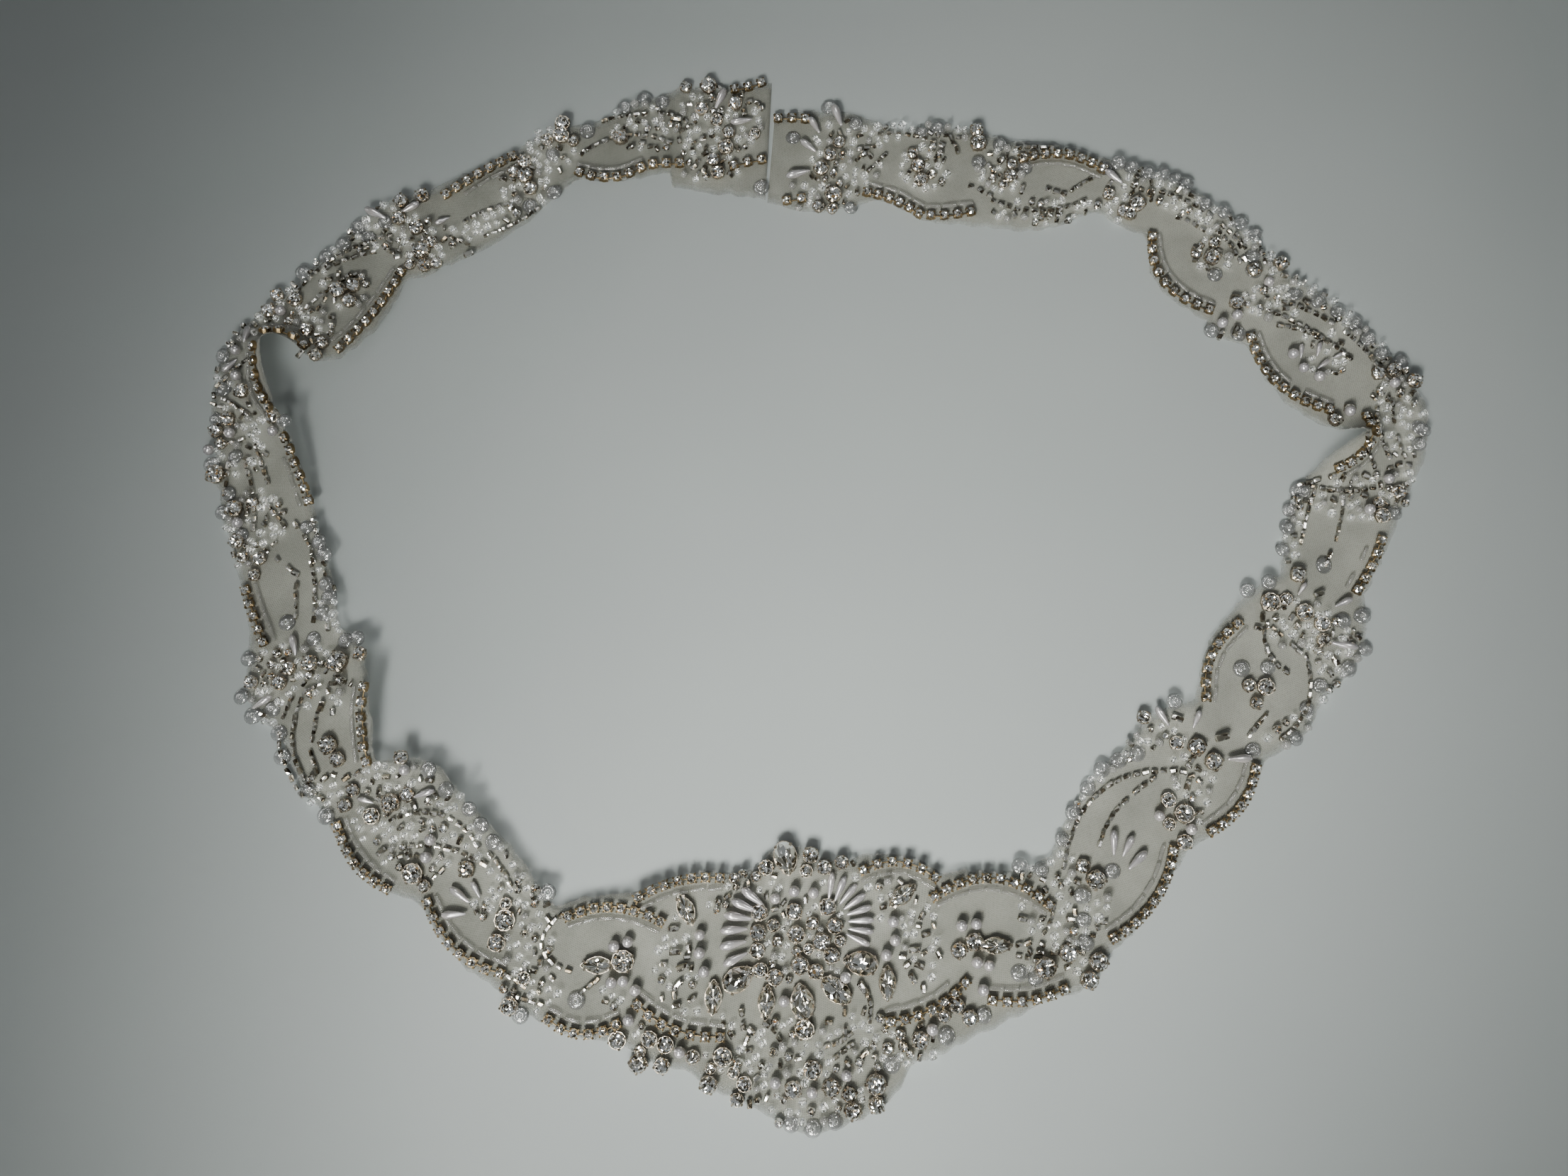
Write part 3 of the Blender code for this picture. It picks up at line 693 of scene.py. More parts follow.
def clearGlassFinish():
    material, build, shader = newFinish("clearGlass", {
        "IOR": 1.5, "Transmission Weight": 1.0, "Coat Weight": 1.0, "Coat Roughness": 0.15, "Coat IOR": 1.9})
    uneven = groupNode(build, handledSurface, {"Vector": objectPlace(build), "Fine": 1500.0, "Broad": 350.0})
    build.put(shader["Base Color"], ramp(build, uneven["Broad"], [
        (0.32, (0.86, 0.87, 0.85)), (0.68, (0.99, 0.99, 0.98))]))
    build.put(shader["Roughness"], mapped(build, uneven["Fine"], 0.0, 0.08))
    build.put(shader["Normal"], bumped(build, uneven["Fine"], 0.08, 0.0001))
    shadow = build.get("ShaderNodeLightPath", {}, {}, "Is Shadow Ray")      # glass lets the lamps through
    build.put(shader["Alpha"], mapped(build, shadow, 1.0, 0.25))
    return material


def silverLinedFinish():
    material, build, shader = newFinish("silverLined", {"Metallic": 1.0, "Coat Weight": 0.8,
                                                        "Coat Roughness": 0.03})
    place = objectPlace(build)
    inside = groupNode(build, facetScatter, {"Vector": place, "Cell": 0.0011, "Scatter": 0.3})
    build.put(shader["Base Color"], ramp(build, inside["Cell Value"], [
        (0.0, (0.105, 0.085, 0.055)), (0.3, (0.35, 0.32, 0.25)), (0.55, (0.73, 0.71, 0.66))], "CONSTANT"))
    uneven = groupNode(build, handledSurface, {"Vector": place, "Fine": 1500.0, "Broad": 300.0})
    build.put(shader["Roughness"], mapped(build, uneven["Fine"], 0.06, 0.3))
    build.put(shader["Normal"], bumped(build, uneven["Fine"], 0.2, 0.0001, inside["Normal"]))
    return material


def threadFinish():
    material, build, shader = newFinish("sewingThread", {"Specular IOR Level": 0.3})
    place = objectPlace(build)
    uneven = groupNode(build, handledSurface, {"Vector": place, "Fine": 4000.0, "Broad": 200.0})
    build.put(shader["Base Color"], ramp(build, uneven["Fine"], [
        (0.3, (0.46, 0.45, 0.41)), (0.7, (0.72, 0.71, 0.67))]))
    build.put(shader["Roughness"], mapped(build, uneven["Broad"], 0.5, 0.8))
    build.put(shader["Normal"], bumped(build, uneven["Fine"], 0.4, 0.0001))
    return material


def floorFinish():
    material, build, shader = newFinish("paleFloor", {"Specular IOR Level": 0.3})
    place = objectPlace(build)
    uneven = groupNode(build, handledSurface, {"Vector": place, "Fine": 1400.0, "Broad": 6.0})
    build.put(shader["Base Color"], ramp(build, uneven["Broad"], [
        (0.3, (0.49, 0.535, 0.53)), (0.7, (0.53, 0.578, 0.57))]))
    build.put(shader["Roughness"], mapped(build, uneven["Fine"], 0.5, 0.65))
    build.put(shader["Normal"], bumped(build, uneven["Fine"], 0.25, 0.0001))
    return material


netCloth = netFinish()
foiledCrystal = crystalFinish("foiledCrystal", 0.00065, 0.5, [
    (0.0, (0.15, 0.13, 0.095)), (0.2, (0.48, 0.44, 0.36)), (0.4, (0.91, 0.88, 0.81)),
    (0.6, (1.0, 1.0, 1.0)), (0.975, (1.0, 0.66, 0.34))])
bigCrystal = crystalFinish("bigCrystal", 1.0, 0.42, [
    (0.0, (0.21, 0.19, 0.145)), (0.2, (0.60, 0.56, 0.475)), (0.42, (0.93, 0.91, 0.85)),
    (0.7, (1.0, 1.0, 0.98)), (0.98, (1.0, 0.75, 0.5))])
agedCup = metalFinish("agedCup", (0.085, 0.064, 0.034), (0.36, 0.265, 0.135), 0.24)
silverSetting = metalFinish("silverSetting", (0.15, 0.12, 0.085), (0.52, 0.465, 0.37), 0.16)
pearlCoat = pearlFinish()
clearGlass = clearGlassFinish()
milkyGlass = glassFinish("milkyGlass", ((0.40, 0.40, 0.37), (0.56, 0.56, 0.53)), (0.35, 0.85), 0.06)
sequinFilm = glassFinish("sequinFilm", ((0.24, 0.245, 0.24), (0.44, 0.445, 0.435)), (0.3, 1.0), 0.04, 0.4)
bugleGlass = glassFinish("bugleGlass", ((0.34, 0.34, 0.30), (0.52, 0.52, 0.48)), (0.2, 0.75), 0.04)
silverLined = silverLinedFinish()
sewingThread = threadFinish()


print("single pieces")


def turned(name, profile, sides, along="X"):    # rows of (along, radius) in mm, turned on an axis
    shape = bmesh.new()
    rings = []
    for place, radius in profile:
        ring = []
        for side in range(1 if radius == 0.0 else sides):
            angle = 2.0 * math.pi * side / sides
            across, high = radius * math.cos(angle), radius * math.sin(angle)
            point = (place, across, high) if along == "X" else (across, high, place)
            ring.append(shape.verts.new(Vector(point) * mm))
        rings.append(ring)
    for here, there in zip(rings, rings[1:]):
        for side in range(sides):
            following = (side + 1) % sides
            corners = [here[side % len(here)], here[following % len(here)],
                       there[following % len(there)], there[side % len(there)]]
            shape.faces.new(list(dict.fromkeys(corners)))
    if len(rings[0]) > 1 and len(rings[-1]) > 1:
        if profile[0] == profile[-1]:           # a ring closed on itself
            bmesh.ops.remove_doubles(shape, verts=shape.verts, dist=1e-7)
        else:
            shape.faces.new(rings[0])
            shape.faces.new(rings[-1])
    return shape


def raised(shape, height):
    bmesh.ops.translate(shape, verts=shape.verts, vec=up * (height * mm))
    return shape


def roundPiece(name, width, length, rows, sides, along="X"):
    profile = []
    for row in range(rows + 1):
        angle = math.pi * row / rows
        radius = 0.0 if row in (0, rows) else width * 0.5 * math.sin(angle)
        profile.append((-length * 0.5 * math.cos(angle), radius))
    lift = width * 0.5 if along == "X" else length * 0.5
    return fromShape(name, raised(turned(name, profile, sides, along), lift))


def ringPiece(name, width, hole, height, sides, rows, along="Z"):
    middle, radius = (width + hole) * 0.25, (width - hole) * 0.25
    profile = []
    for row in range(rows + 1):
        angle = 2.0 * math.pi * (row % rows) / rows
        profile.append((height * 0.5 * math.sin(angle), middle + radius * math.cos(angle)))
    lift = height * 0.5 if along == "Z" else width * 0.5
    return fromShape(name, raised(turned(name, profile, sides, along), lift))


def tubePiece(name, width, length, sides, smooth=False):
    half, radius = length * 0.5, width * 0.5
    profile = [(-half, radius * 0.45), (-half, radius * 0.85), (-half * 0.86, radius),
               (half * 0.86, radius), (half, radius * 0.85), (half, radius * 0.45)]
    return fromShape(name, raised(turned(name, profile, sides), radius), smooth)


def dropPiece(name, width, length):             # the tip points along +X
    profile = [(-0.5, 0.0), (-0.485, 0.30), (-0.42, 0.66), (-0.32, 0.9), (-0.2, 1.0), (-0.05, 0.93),
               (0.12, 0.76), (0.3, 0.54), (0.44, 0.36), (0.49, 0.22), (0.5, 0.0)]
    rows = [(place * length, radius * width * 0.5) for place, radius in profile]
    return fromShape(name, raised(turned(name, rows, 10), width * 0.5))


def sequinPiece(name, width):                   # a thin dome with a hole
    half = width * 0.5
    profile = [(0.72, 0.4), (0.60, half * 0.5), (0.05, half), (0.16, half), (0.62, half * 0.76),
               (0.86, half * 0.42), (0.88, 0.4)]
    return fromShape(name, turned(name, profile + profile[:1], 14, "Z"))


def roundLine(angle):
    return Vector((math.cos(angle), math.sin(angle))) * 0.5


stoneCuts = {                   # length, width, height, and how pointed each end is
    "navette": (9.6, 4.8, 3.0, 1.0, 1.0),
    "pear": (9.8, 6.6, 3.4, 1.0, 0.0),
    "oval": (10.0, 6.3, 3.4, 0.35, 0.35),
}
facetHearts = {"navette": 0.0, "pear": 3.2, "oval": 0.0}    # where the long facets meet


def cutLine(cut):
    length, width, _, front, back = stoneCuts[cut]

    def line(angle):
        along, across = math.cos(angle), math.sin(angle)
        point = front if along > 0.0 else back
        narrowing = 1.0 - 0.6 * point * abs(along) ** 1.5
        return Vector((along * length * 0.5, across * width * 0.5 * narrowing))
    return line


starDepth = 0.28               # share of the crown's height


def facetedStone(shape, line, girdle, crown, base, table=0.56, middle=0.82, sides=8, size=1.0):
    def ring(count, share, height, turn):
        return [shape.verts.new(Vector((
            *(line(2.0 * math.pi * (k + turn) / count) * share * size), height)) * mm)
                for k in range(count)]
    deep = crown - girdle
    top, mid = ring(sides, table, crown, 0.5), ring(sides, middle, girdle + deep * 0.62, 0.0)
    wide, low = ring(sides * 2, 1.0, girdle, 0.0), ring(sides * 2, 0.92, base, 0.0)
    star = ring(sides, table * 0.5, crown - deep * starDepth, 0.0)
    heart = shape.verts.new(Vector((0.0, 0.0, crown - deep * starDepth * 1.9)) * mm)
    shape.faces.new(low)
    for k in range(sides):
        shape.faces.new((top[k - 1], star[k], top[k]))      # a low star stands for the facets
        shape.faces.new((star[k], star[(k + 1) % sides], top[k]))       # seen through the table
        shape.faces.new((star[k], heart, star[(k + 1) % sides]))
        shape.faces.new((top[k - 1], top[k], mid[k]))
        shape.faces.new((mid[k], top[k], wide[2 * k + 1]))
        shape.faces.new((mid[k], wide[2 * k + 1], wide[2 * k]))
        shape.faces.new((mid[k], wide[2 * k], wide[2 * k - 1]))
        shape.faces.new((mid[k], wide[2 * k - 1], top[k - 1]))
    for k in range(sides * 2):
        shape.faces.new((wide[k - 1], wide[k], low[k], low[k - 1]))


def stonePiece(name, line, girdle, crown, base, size=1.0):
    shape = bmesh.new()
    facetedStone(shape, line, girdle, crown, base, size=size)
    return fromShape(name, shape, smooth=False)


def markRays(piece, cut):       # each point's place round the heart, for facets that run out from it
    length, width, _, _, _ = stoneCuts[cut]
    marks = piece.data.attributes.new("ray", "FLOAT_VECTOR", "POINT")
    heart = facetHearts[cut]
    wide = length if heart == 0.0 else width
    for vertex, mark in zip(piece.data.vertices, marks.data):
        mark.vector = ((vertex.co.x / mm - heart) / wide * 2.0, vertex.co.y / mm / width * 2.0, 0.0)


def collar(shape, line, base, top, grow, wall, sides):      # an open wall round a stone
    def ring(height, extra):
        made = []
        for k in range(sides):
            point = line(2.0 * math.pi * k / sides)
            made.append(shape.verts.new(Vector((*(point + point.normalized() * extra), height)) * mm))
        return made
    rings = [ring(base, grow * 0.4), ring((base + top) * 0.5, grow), ring(top, grow * 0.8),
             ring(top, grow - wall), ring(base + 0.15, -wall)]
    for here, there in zip(rings, rings[1:]):
        for k in range(sides):
            shape.faces.new((here[k - 1], here[k], there[k], there[k - 1]))
    shape.faces.new(rings[0])
    shape.faces.new(rings[-1])


def claw(shape, line, angle, base, top, width, reach):      # a prong bent in over a stone's edge
    outward = line(angle).normalized()
    across = Vector((-outward.y, outward.x))
    edge = line(angle)
    rows = []
    for height, grow, share in ((base, 0.28, 1.0), (top - 0.2, 0.3, 1.0), (top + 0.25, -reach, 0.7)):
        row = []
        for side, depth in ((-1, 0.16), (1, 0.16), (1, -0.16), (-1, -0.16)):
            flat = edge + outward * (grow + depth) + across * (side * width * 0.5 * share)
            row.append(shape.verts.new(Vector((*flat, height)) * mm))
        rows.append(row)
    for here, there in zip(rows, rows[1:]):
        for k in range(4):
            shape.faces.new((here[k - 1], here[k], there[k], there[k - 1]))
    shape.faces.new(rows[0])
    shape.faces.new(rows[-1])


cupSizes = {"width": 2.8, "stone": 2.75, "stoneBase": 0.7, "girdle": 1.35, "crown": 2.05, "prong": 0.46}
chatonSizes = {"stoneBase": 0.12, "girdle": 0.36, "crown": 0.6, "prong": 0.13}    # shares of its width


def chainCup():
    shape = bmesh.new()
    width = cupSizes["width"] * 0.5

    def square(angle):          # a square with cut corners, laid corner to corner along the chain's sides
        reach = width / max(abs(math.cos(angle)), abs(math.sin(angle)))
        return Vector((math.cos(angle), math.sin(angle))) * min(reach, width * 1.1)
    collar(shape, square, 0.05, cupSizes["girdle"] + 0.05, 0.0, 0.22, 8)
    for corner in range(4):
        claw(shape, lambda angle: square(angle) * 0.93, math.radians(45 + 90 * corner),
             0.4, cupSizes["girdle"] + 0.2, cupSizes["prong"], 0.38)
    return fromShape("chainCupPiece", shape, smooth=False)


def chatonCup():                # for a stone one unit wide
    shape = bmesh.new()
    collar(shape, roundLine, 0.02, chatonSizes["girdle"] - 0.02, 0.045, 0.05, 10)
    for corner in range(4):
        outward = Vector((math.cos(math.radians(45 + 90 * corner)), math.sin(math.radians(45 + 90 * corner))))
        across = Vector((-outward.y, outward.x))
        rows = []
        for height, reach, share in ((0.05, 0.53, 1.0), (0.38, 0.56, 1.0), (0.5, 0.42, 0.7)):
            rows.append([
                shape.verts.new(Vector((*(outward * (reach + deep * 0.03) + across * (side * 0.065 * share)),
                                        height)) * mm)
                for side, deep in ((-1, 1), (1, 1), (1, -1), (-1, -1))])
        for here, there in zip(rows, rows[1:]):
            for k in range(4):
                shape.faces.new((here[k - 1], here[k], there[k], there[k - 1]))
        shape.faces.new(rows[0])
        shape.faces.new(rows[-1])
    return fromShape("chatonCupPiece", shape, smooth=False)


singlePieces = {
    "chainCup": chainCup(),
    "chainStone": stonePiece("chainStonePiece", roundLine, cupSizes["girdle"], cupSizes["crown"],
                             cupSizes["stoneBase"], size=cupSizes["stone"]),
    "chatonCup": chatonCup(),
    "chatonStone": stonePiece("chatonStonePiece", roundLine, chatonSizes["girdle"], chatonSizes["crown"],
                              chatonSizes["stoneBase"]),
    "pearl": roundPiece("pearlPiece", 1.0, 1.0, 7, 10, "Z"),
    "drop": dropPiece("dropPiece", 0.34, 1.0),
    "slimDrop": dropPiece("slimDropPiece", 0.28, 1.0),
    "bead": ringPiece("beadPiece", 1.0, 0.32, 0.72, 9, 5),
    "beadOnEdge": ringPiece("beadOnEdgePiece", 1.0, 0.22, 0.8, 9, 6, "X"),
    "crystal": stonePiece("crystalPiece", roundLine, 0.4, 0.8, 0.05),
    "dash": tubePiece("dashPiece", 1.35, 2.0, 6),
    "wideDash": tubePiece("wideDashPiece", 0.55, 1.0, 7),
    "bugle": tubePiece("buglePiece", 1.25, 4.4, 8, smooth=True),
    "sequin": sequinPiece("sequinPiece", 5.0),
}


# Rhinestone chain runs: name, start, end, bulge.
chainRuns = [
    ("chain_medallion_1", (-51.9, -98.6), (-28.8, -93.3), 1.9),
    ("chain_medallion_2", (-71.7, -103.7), (-45.6, -105.3), 3.3),
    ("chain_medallion_3", (-76.4, -131.9), (-57.4, -133.2), -3.2),
    ("chain_medallion_4", (-51.6, -127.9), (-28.3, -136.5), -2.6),
    ("chain_medallion_5", (12.2, -91.2), (32.5, -93.2), 3.4),
    ("chain_medallion_6", (32.5, -98.4), (64.8, -100.8), 6.2),
    ("chain_medallion_7", (19.2, -132.3), (40.5, -122.0), -2.4),
    ("chain_medallion_8", (48.0, -126.6), (68.1, -123.8), -1.6),
    ("chain_left_1", (-112.1, -100.4), (-90.5, -119.5), -3.8),
    ("chain_left_2", (-139.5, -78.9), (-124.2, -96.3), -2.5),
    ("chain_left_3", (-131.5, -39.4), (-130.8, -60.3), -1.2),
    ("chain_left_4", (-172.1, -9.4), (-165.7, -25.1), -0.3),
    ("chain_left_5", (-161.3, 36.8), (-154.6, 18.2), 0.4),
    ("chain_left_6", (-172.8, 65.6), (-165.8, 45.7), -2.4),
    ("chain_left_7", (-160.2, 67.3), (-171.8, 71.5), -1.6),
    ("chain_left_8", (-132.1, 93.5), (-149.4, 67.5), 1.4),
    ("chain_left_9", (-119.4, 120.6), (-98.6, 134.0), 0.6),
    ("chain_left_10", (-76.7, 128.2), (-56.8, 130.0), -2.8),
    ("chain_left_11", (-53.0, 131.2), (-44.5, 131.9), 0.1),
    ("chain_left_12", (-26.7, 159.0), (-18.1, 161.4), -0.4),
    ("chain_left_13", (-26.9, 131.1), (-17.7, 133.2), 0.2),
    ("chain_right_1", (101.4, -85.7), (83.0, -109.9), 3.6),
    ("chain_right_2", (126.9, -62.4), (113.0, -80.3), 2.6),
    ("chain_right_3", (124.5, -19.8), (113.6, -41.6), -3.2),
    ("chain_right_4", (170.2, 5.8), (162.1, -9.2), 0.6),
    ("chain_right_5", (169.5, 44.6), (159.3, 28.8), 3.3),
    ("chain_right_6", (136.0, 71.4), (158.3, 47.4), -5.2),
    ("chain_right_7", (107.2, 106.0), (123.7, 80.9), -6.1),
    ("chain_right_8", (67.0, 133.5), (92.4, 129.6), 3.0),
    ("chain_right_9", (16.3, 121.3), (32.8, 113.9), 1.0),
    ("chain_right_10", (36.7, 113.2), (49.4, 114.2), -0.4),
    ("chain_right_11", (-12.4, 148.1), (-3.5, 147.9), 0.2),
    ("chain_right_12", (-9.6, 118.5), (-4.8, 119.3), 0.0),
]

# Large sew-on stones: node, cut, centre, heading.
bigStones = [
    ("crown_pear", "pear", (-10.0, -87.9), -80.0),
    ("pear_left", "pear", (-23.2, -120.8), 38.0),
    ("pear_middle", "pear", (-5.5, -127.0), 97.0),
    ("pear_right", "pear", (11.1, -116.7), 172.0),
    ("oval_middle", "oval", (4.2, -124.0), -42.0),
    ("navette_1", "navette", (-38.4, -102.0), -66.0),
    ("navette_2", "navette", (-30.4, -125.9), 90.0),
    ("navette_3", "navette", (-15.5, -127.3), 84.0),
    ("navette_4", "navette", (18.5, -122.1), 88.0),
    ("navette_5", "navette", (-63.0, -117.2), 2.0),
    ("navette_6", "navette", (49.2, -111.8), 2.0),
    ("navette_7", "navette", (23.2, -98.2), 42.0),
]

# The tables below give places as they are seen against the table top.

# Chatons in four-claw cups: x, y, diameter.
chatons = [
    (-17.5, -103, 4.6), (-18, -108.5, 4.6), (-18, -113.5, 4.2), (-17, -118.5, 4), (-13, -120.5, 4.6),
    (-13.5, -106.5, 3.6), (-7.5, -102.5, 4.6), (-7, -109, 5), (-12.5, -111, 3), (-6, -117.5, 5),
    (-1.5, -119, 4.4), (2, -101.5, 4.8), (4, -106.5, 4.6), (0, -111, 5), (3, -114.6, 4.4),
    (5.5, -110.8, 3.2), (-3.4, -113, 3), (-2.5, -106, 3.6), (-7, -113.8, 2.8),
    (-15.5, -90.5, 4.2), (-3, -87, 4.6), (-4, -91.5, 3.6), (1, -90.5, 4.2), (6, -89, 4),
    (-18.5, -93, 3), (-25, -93.5, 3),
    (-4.5, -134.5, 5.4), (-2.5, -145, 5.4), (-8, -150.5, 4.8), (2.5, -150, 5), (7.5, -151.5, 4.4),
    (8.5, -156, 4.8), (15, -149, 5.6), (15, -154.4, 4.6), (-23.5, -153, 3.8), (-21.5, -149, 4.2),
    (-31.5, -149, 4.8), (-27.5, -141.5, 5.4), (-36, -142, 4), (-44.5, -144, 4.4), (-52, -144.5, 5),
    (-50.5, -140.5, 3.2), (-48, -137, 4.4), (-57, -137.5, 5), (-43.5, -138.5, 4.6), (-24.5, -146, 3.4),
    (-31, -145, 3.2), (27.5, -137.5, 5), (38, -128.4, 4.2), (41.5, -131.5, 4.6), (22, -136, 3),
    (18.5, -139.5, 3.4), (34.5, -131, 3.4), (-56, -116, 6), (43.5, -111, 4.8), (39, -113.5, 4.6),
    (-90, -105, 6), (-90, -100.4, 3.4), (-92, -111, 5), (-88, -128.5, 5), (-84, -121, 3.6),
    (78.5, -116.5, 5), (75.5, -121.5, 5.2), (70, -114, 5.2), (63.5, -118, 5.8),
    (79, -94, 5.4), (75.5, -90, 4.2), (105, -83.5, 4.4), (105.5, -75.5, 5.6), (101, -78.4, 3.4),
    (101, -71.6, 4.2), (110.6, -56, 5), (115, -60.4, 5), (104.5, -55, 4), (95.5, -47.5, 4),
    (132, -38.5, 5), (127.2, -38, 4), (129, -43.2, 3.8), (135.5, -13, 5.4), (140.5, -12, 4),
    (145.5, -16, 5.2), (150.5, -19.5, 4.4), (150.5, -24.5, 4), (144.5, -4.5, 4.6),
    (172, 14, 4.4), (178, 21.5, 4.4), (171.5, 18.2, 3.2), (186.5, 57.5, 4.6), (175.6, 60, 4),
    (180.5, 61, 4.6), (126.5, 99.4, 5), (121.5, 101, 3.6), (127.5, 104.4, 3.8), (133, 84, 4.6),
    (139.5, 95, 4.4), (148, 97, 4.6), (103.5, 118, 5.2), (99, 115.5, 3.8), (94.5, 121.5, 4),
    (53, 139.5, 5.2), (52.5, 144.4, 4.2), (63, 128, 4.4), (63.5, 132.2, 3.4), (60.6, 125, 3),
    (33, 131.5, 4.4), (34, 126.5, 4.2), (31.5, 136, 3.6), (37.4, 128.6, 3), (5.5, 121, 5.4),
    (1.5, 130.6, 4.6), (4.5, 135.5, 4.4), (7.5, 140, 4), (0.6, 117, 3.8), (5, 116.4, 3.4),
    (-143, -31, 6.2), (-151.5, -31.5, 4.8), (-157.5, -33, 4.2), (-160, -37.2, 4.2), (-168.5, -37, 4),
    (-136.5, -28.5, 4), (-144, -55.4, 5.4), (-141, -59.8, 4.4), (-124.5, -72, 5.4), (-120, -69.8, 4.2),
    (-130, -76, 4.6), (-136, -68.4, 3.8), (-138, -73, 4), (-117, -92, 5.8), (-113.5, -95.6, 3.8),
    (-101.5, -91, 4.6), (-122, -58.5, 4.2), (-161.5, -28.4, 3), (-170.5, -4.5, 3.6), (-169.4, 0.5, 4),
    (-173, 18, 3.6), (-178.5, 16, 5), (-176.8, 6, 4.2), (-174.5, 1, 3.4), (-163.5, 46, 4.4),
    (-186.5, 41.2, 4.4), (-184.5, 37, 3.4), (-183, 45.2, 4.6), (-179.5, 54, 4.6), (-185, 27, 5.6),
    (-152.4, 88, 5), (-148.4, 84.4, 4.4), (-147.4, 89.6, 4.4), (-126.4, 101.6, 5.6), (-125.2, 96.6, 4.4),
    (-121.4, 97.4, 3.6), (-130, 97, 3.4), (-128.5, 109.5, 4.8), (-123.5, 104.6, 3.8),
    (-134.5, 113, 4.4), (-134, 119, 4.4), (-127.5, 121, 4.4), (-94.5, 128, 5), (-92.5, 123.6, 4.4),
    (-98.4, 129.5, 3.6), (-95, 133, 4.2), (-83.5, 142.4, 5), (-83, 147, 4.6), (-88, 141, 3.6),
    (-79.4, 140.5, 3.8), (-64, 141.5, 4.8), (-43, 160, 3.8), (-35.5, 160.5, 5.4), (-32.5, 148, 4),
    (-28.5, 143.4, 4), (-29.5, 138, 4.8), (-33.5, 133.6, 4.2), (-32, 129, 4.4), (-37.5, 152, 4.4),
    (-26.5, 154, 4.4), (-20, 143, 3.6), (-161, 74.4, 4.4), (-156, 70, 4.2), (-158, 66, 3.8),
    (160.5, 44.5, 4.2), (165.5, 48, 3.6), (101, 114.5, 4.4), (-173.5, 81, 4.4), (-171.5, 86.5, 4),
    (-165.5, 84.5, 4.4), (-167, 77.5, 3),
]

# Round pearls, 3.4 mm: x, y.
roundPearls = [
    (-34.5, -109), (-34.5, -114), (-33, -119), (-13, -99), (-7.5, -97), (-2, -97.4), (20.5, -105.5),
    (21, -110.5), (18.5, -114.6), (7, -120.5), (-10.5, -127), (-54, -132), (-39.5, -140.5), (-13, -148.5),
    (-2.6, -151), (6.8, -146.6), (31, -134.5), (45.5, -124), (-58.5, -112), (-54.6, -110.9), (-59, -122),
    (-55.8, -121.6), (-52.2, -124), (44, -116.5), (47.5, -117.4), (40, -106.5), (44.2, -106), (98, -76),
    (107, -79.8), (132.5, 79), (127.5, 76.5), (152, 61.5), (149, 66), (156.5, 58.5), (143.5, 90.5),
    (175, 25.5), (168, 15.6), (180, 56.4), (165, 47), (-168, 41.5), (-181.6, 40.4), (-176.5, 11.5),
    (-182, 67.5), (-169.5, 80.5), (-181, 59), (-121, -62.5), (-188, 34.5), (-112, -82.5), (-113, -87.5),
]

# Drop pearls: x, y, the way the tip points, length.
dropPearls = [
    (84.5, -83.5, 265, 7), (88.5, -84.5, 240, 7), (91, -88.5, 222, 7.5), (101, -47, -60, 6.5),
    (111, -48, 245, 6), (122.5, -59.5, 180, 8), (145.5, -8.8, 235, 5), (157.5, -13, 205, 6.5),
    (156.5, -26, 170, 8), (96.5, 127.5, -45, 7), (7, 149.5, -70, 8), (-2.5, 138.5, -40, 6.5),
    (-6, 128.5, 15, 8), (-0.5, 146, -60, 7), (152, 67.4, 260, 5), (157.5, 68, 250, 5), (158.6, 63, 215, 5),
    (163.5, 66, 210, 4), (-156.5, -26, -75, 7), (-164.5, -43, 215, 7), (-132, -71.5, -15, 5),
    (-115, -69.5, 200, 6.5), (-98.6, -96.5, -60, 5.5), (-103, -98, -35, 7), (-104.5, -103.5, 5, 7.5),
    (-142, 114.5, -25, 8), (-131, 116.4, 210, 7), (-31.5, 155.6, 250, 8), (-24.5, 147.5, 10, 7),
    (-120.6, 112, 30, 5), (-179.5, 72.5, -85, 7), (-184, 62.5, 40, 6),
]

# The two fans of drop pearls beside the middle stones.  Radii are to the round ends; the tips point in.
pearlFans = [
    {"centre": (-8.0, -107.0), "angles": (144.0, 208.0), "radii": (18.2, 22.4), "count": 6,
     "length": 8.0, "slim": False},
    {"centre": (1.0, -106.0), "angles": (80.0, -25.0), "radii": (14.4, 14.2), "count": 8,
     "length": 7.5, "slim": True},
]

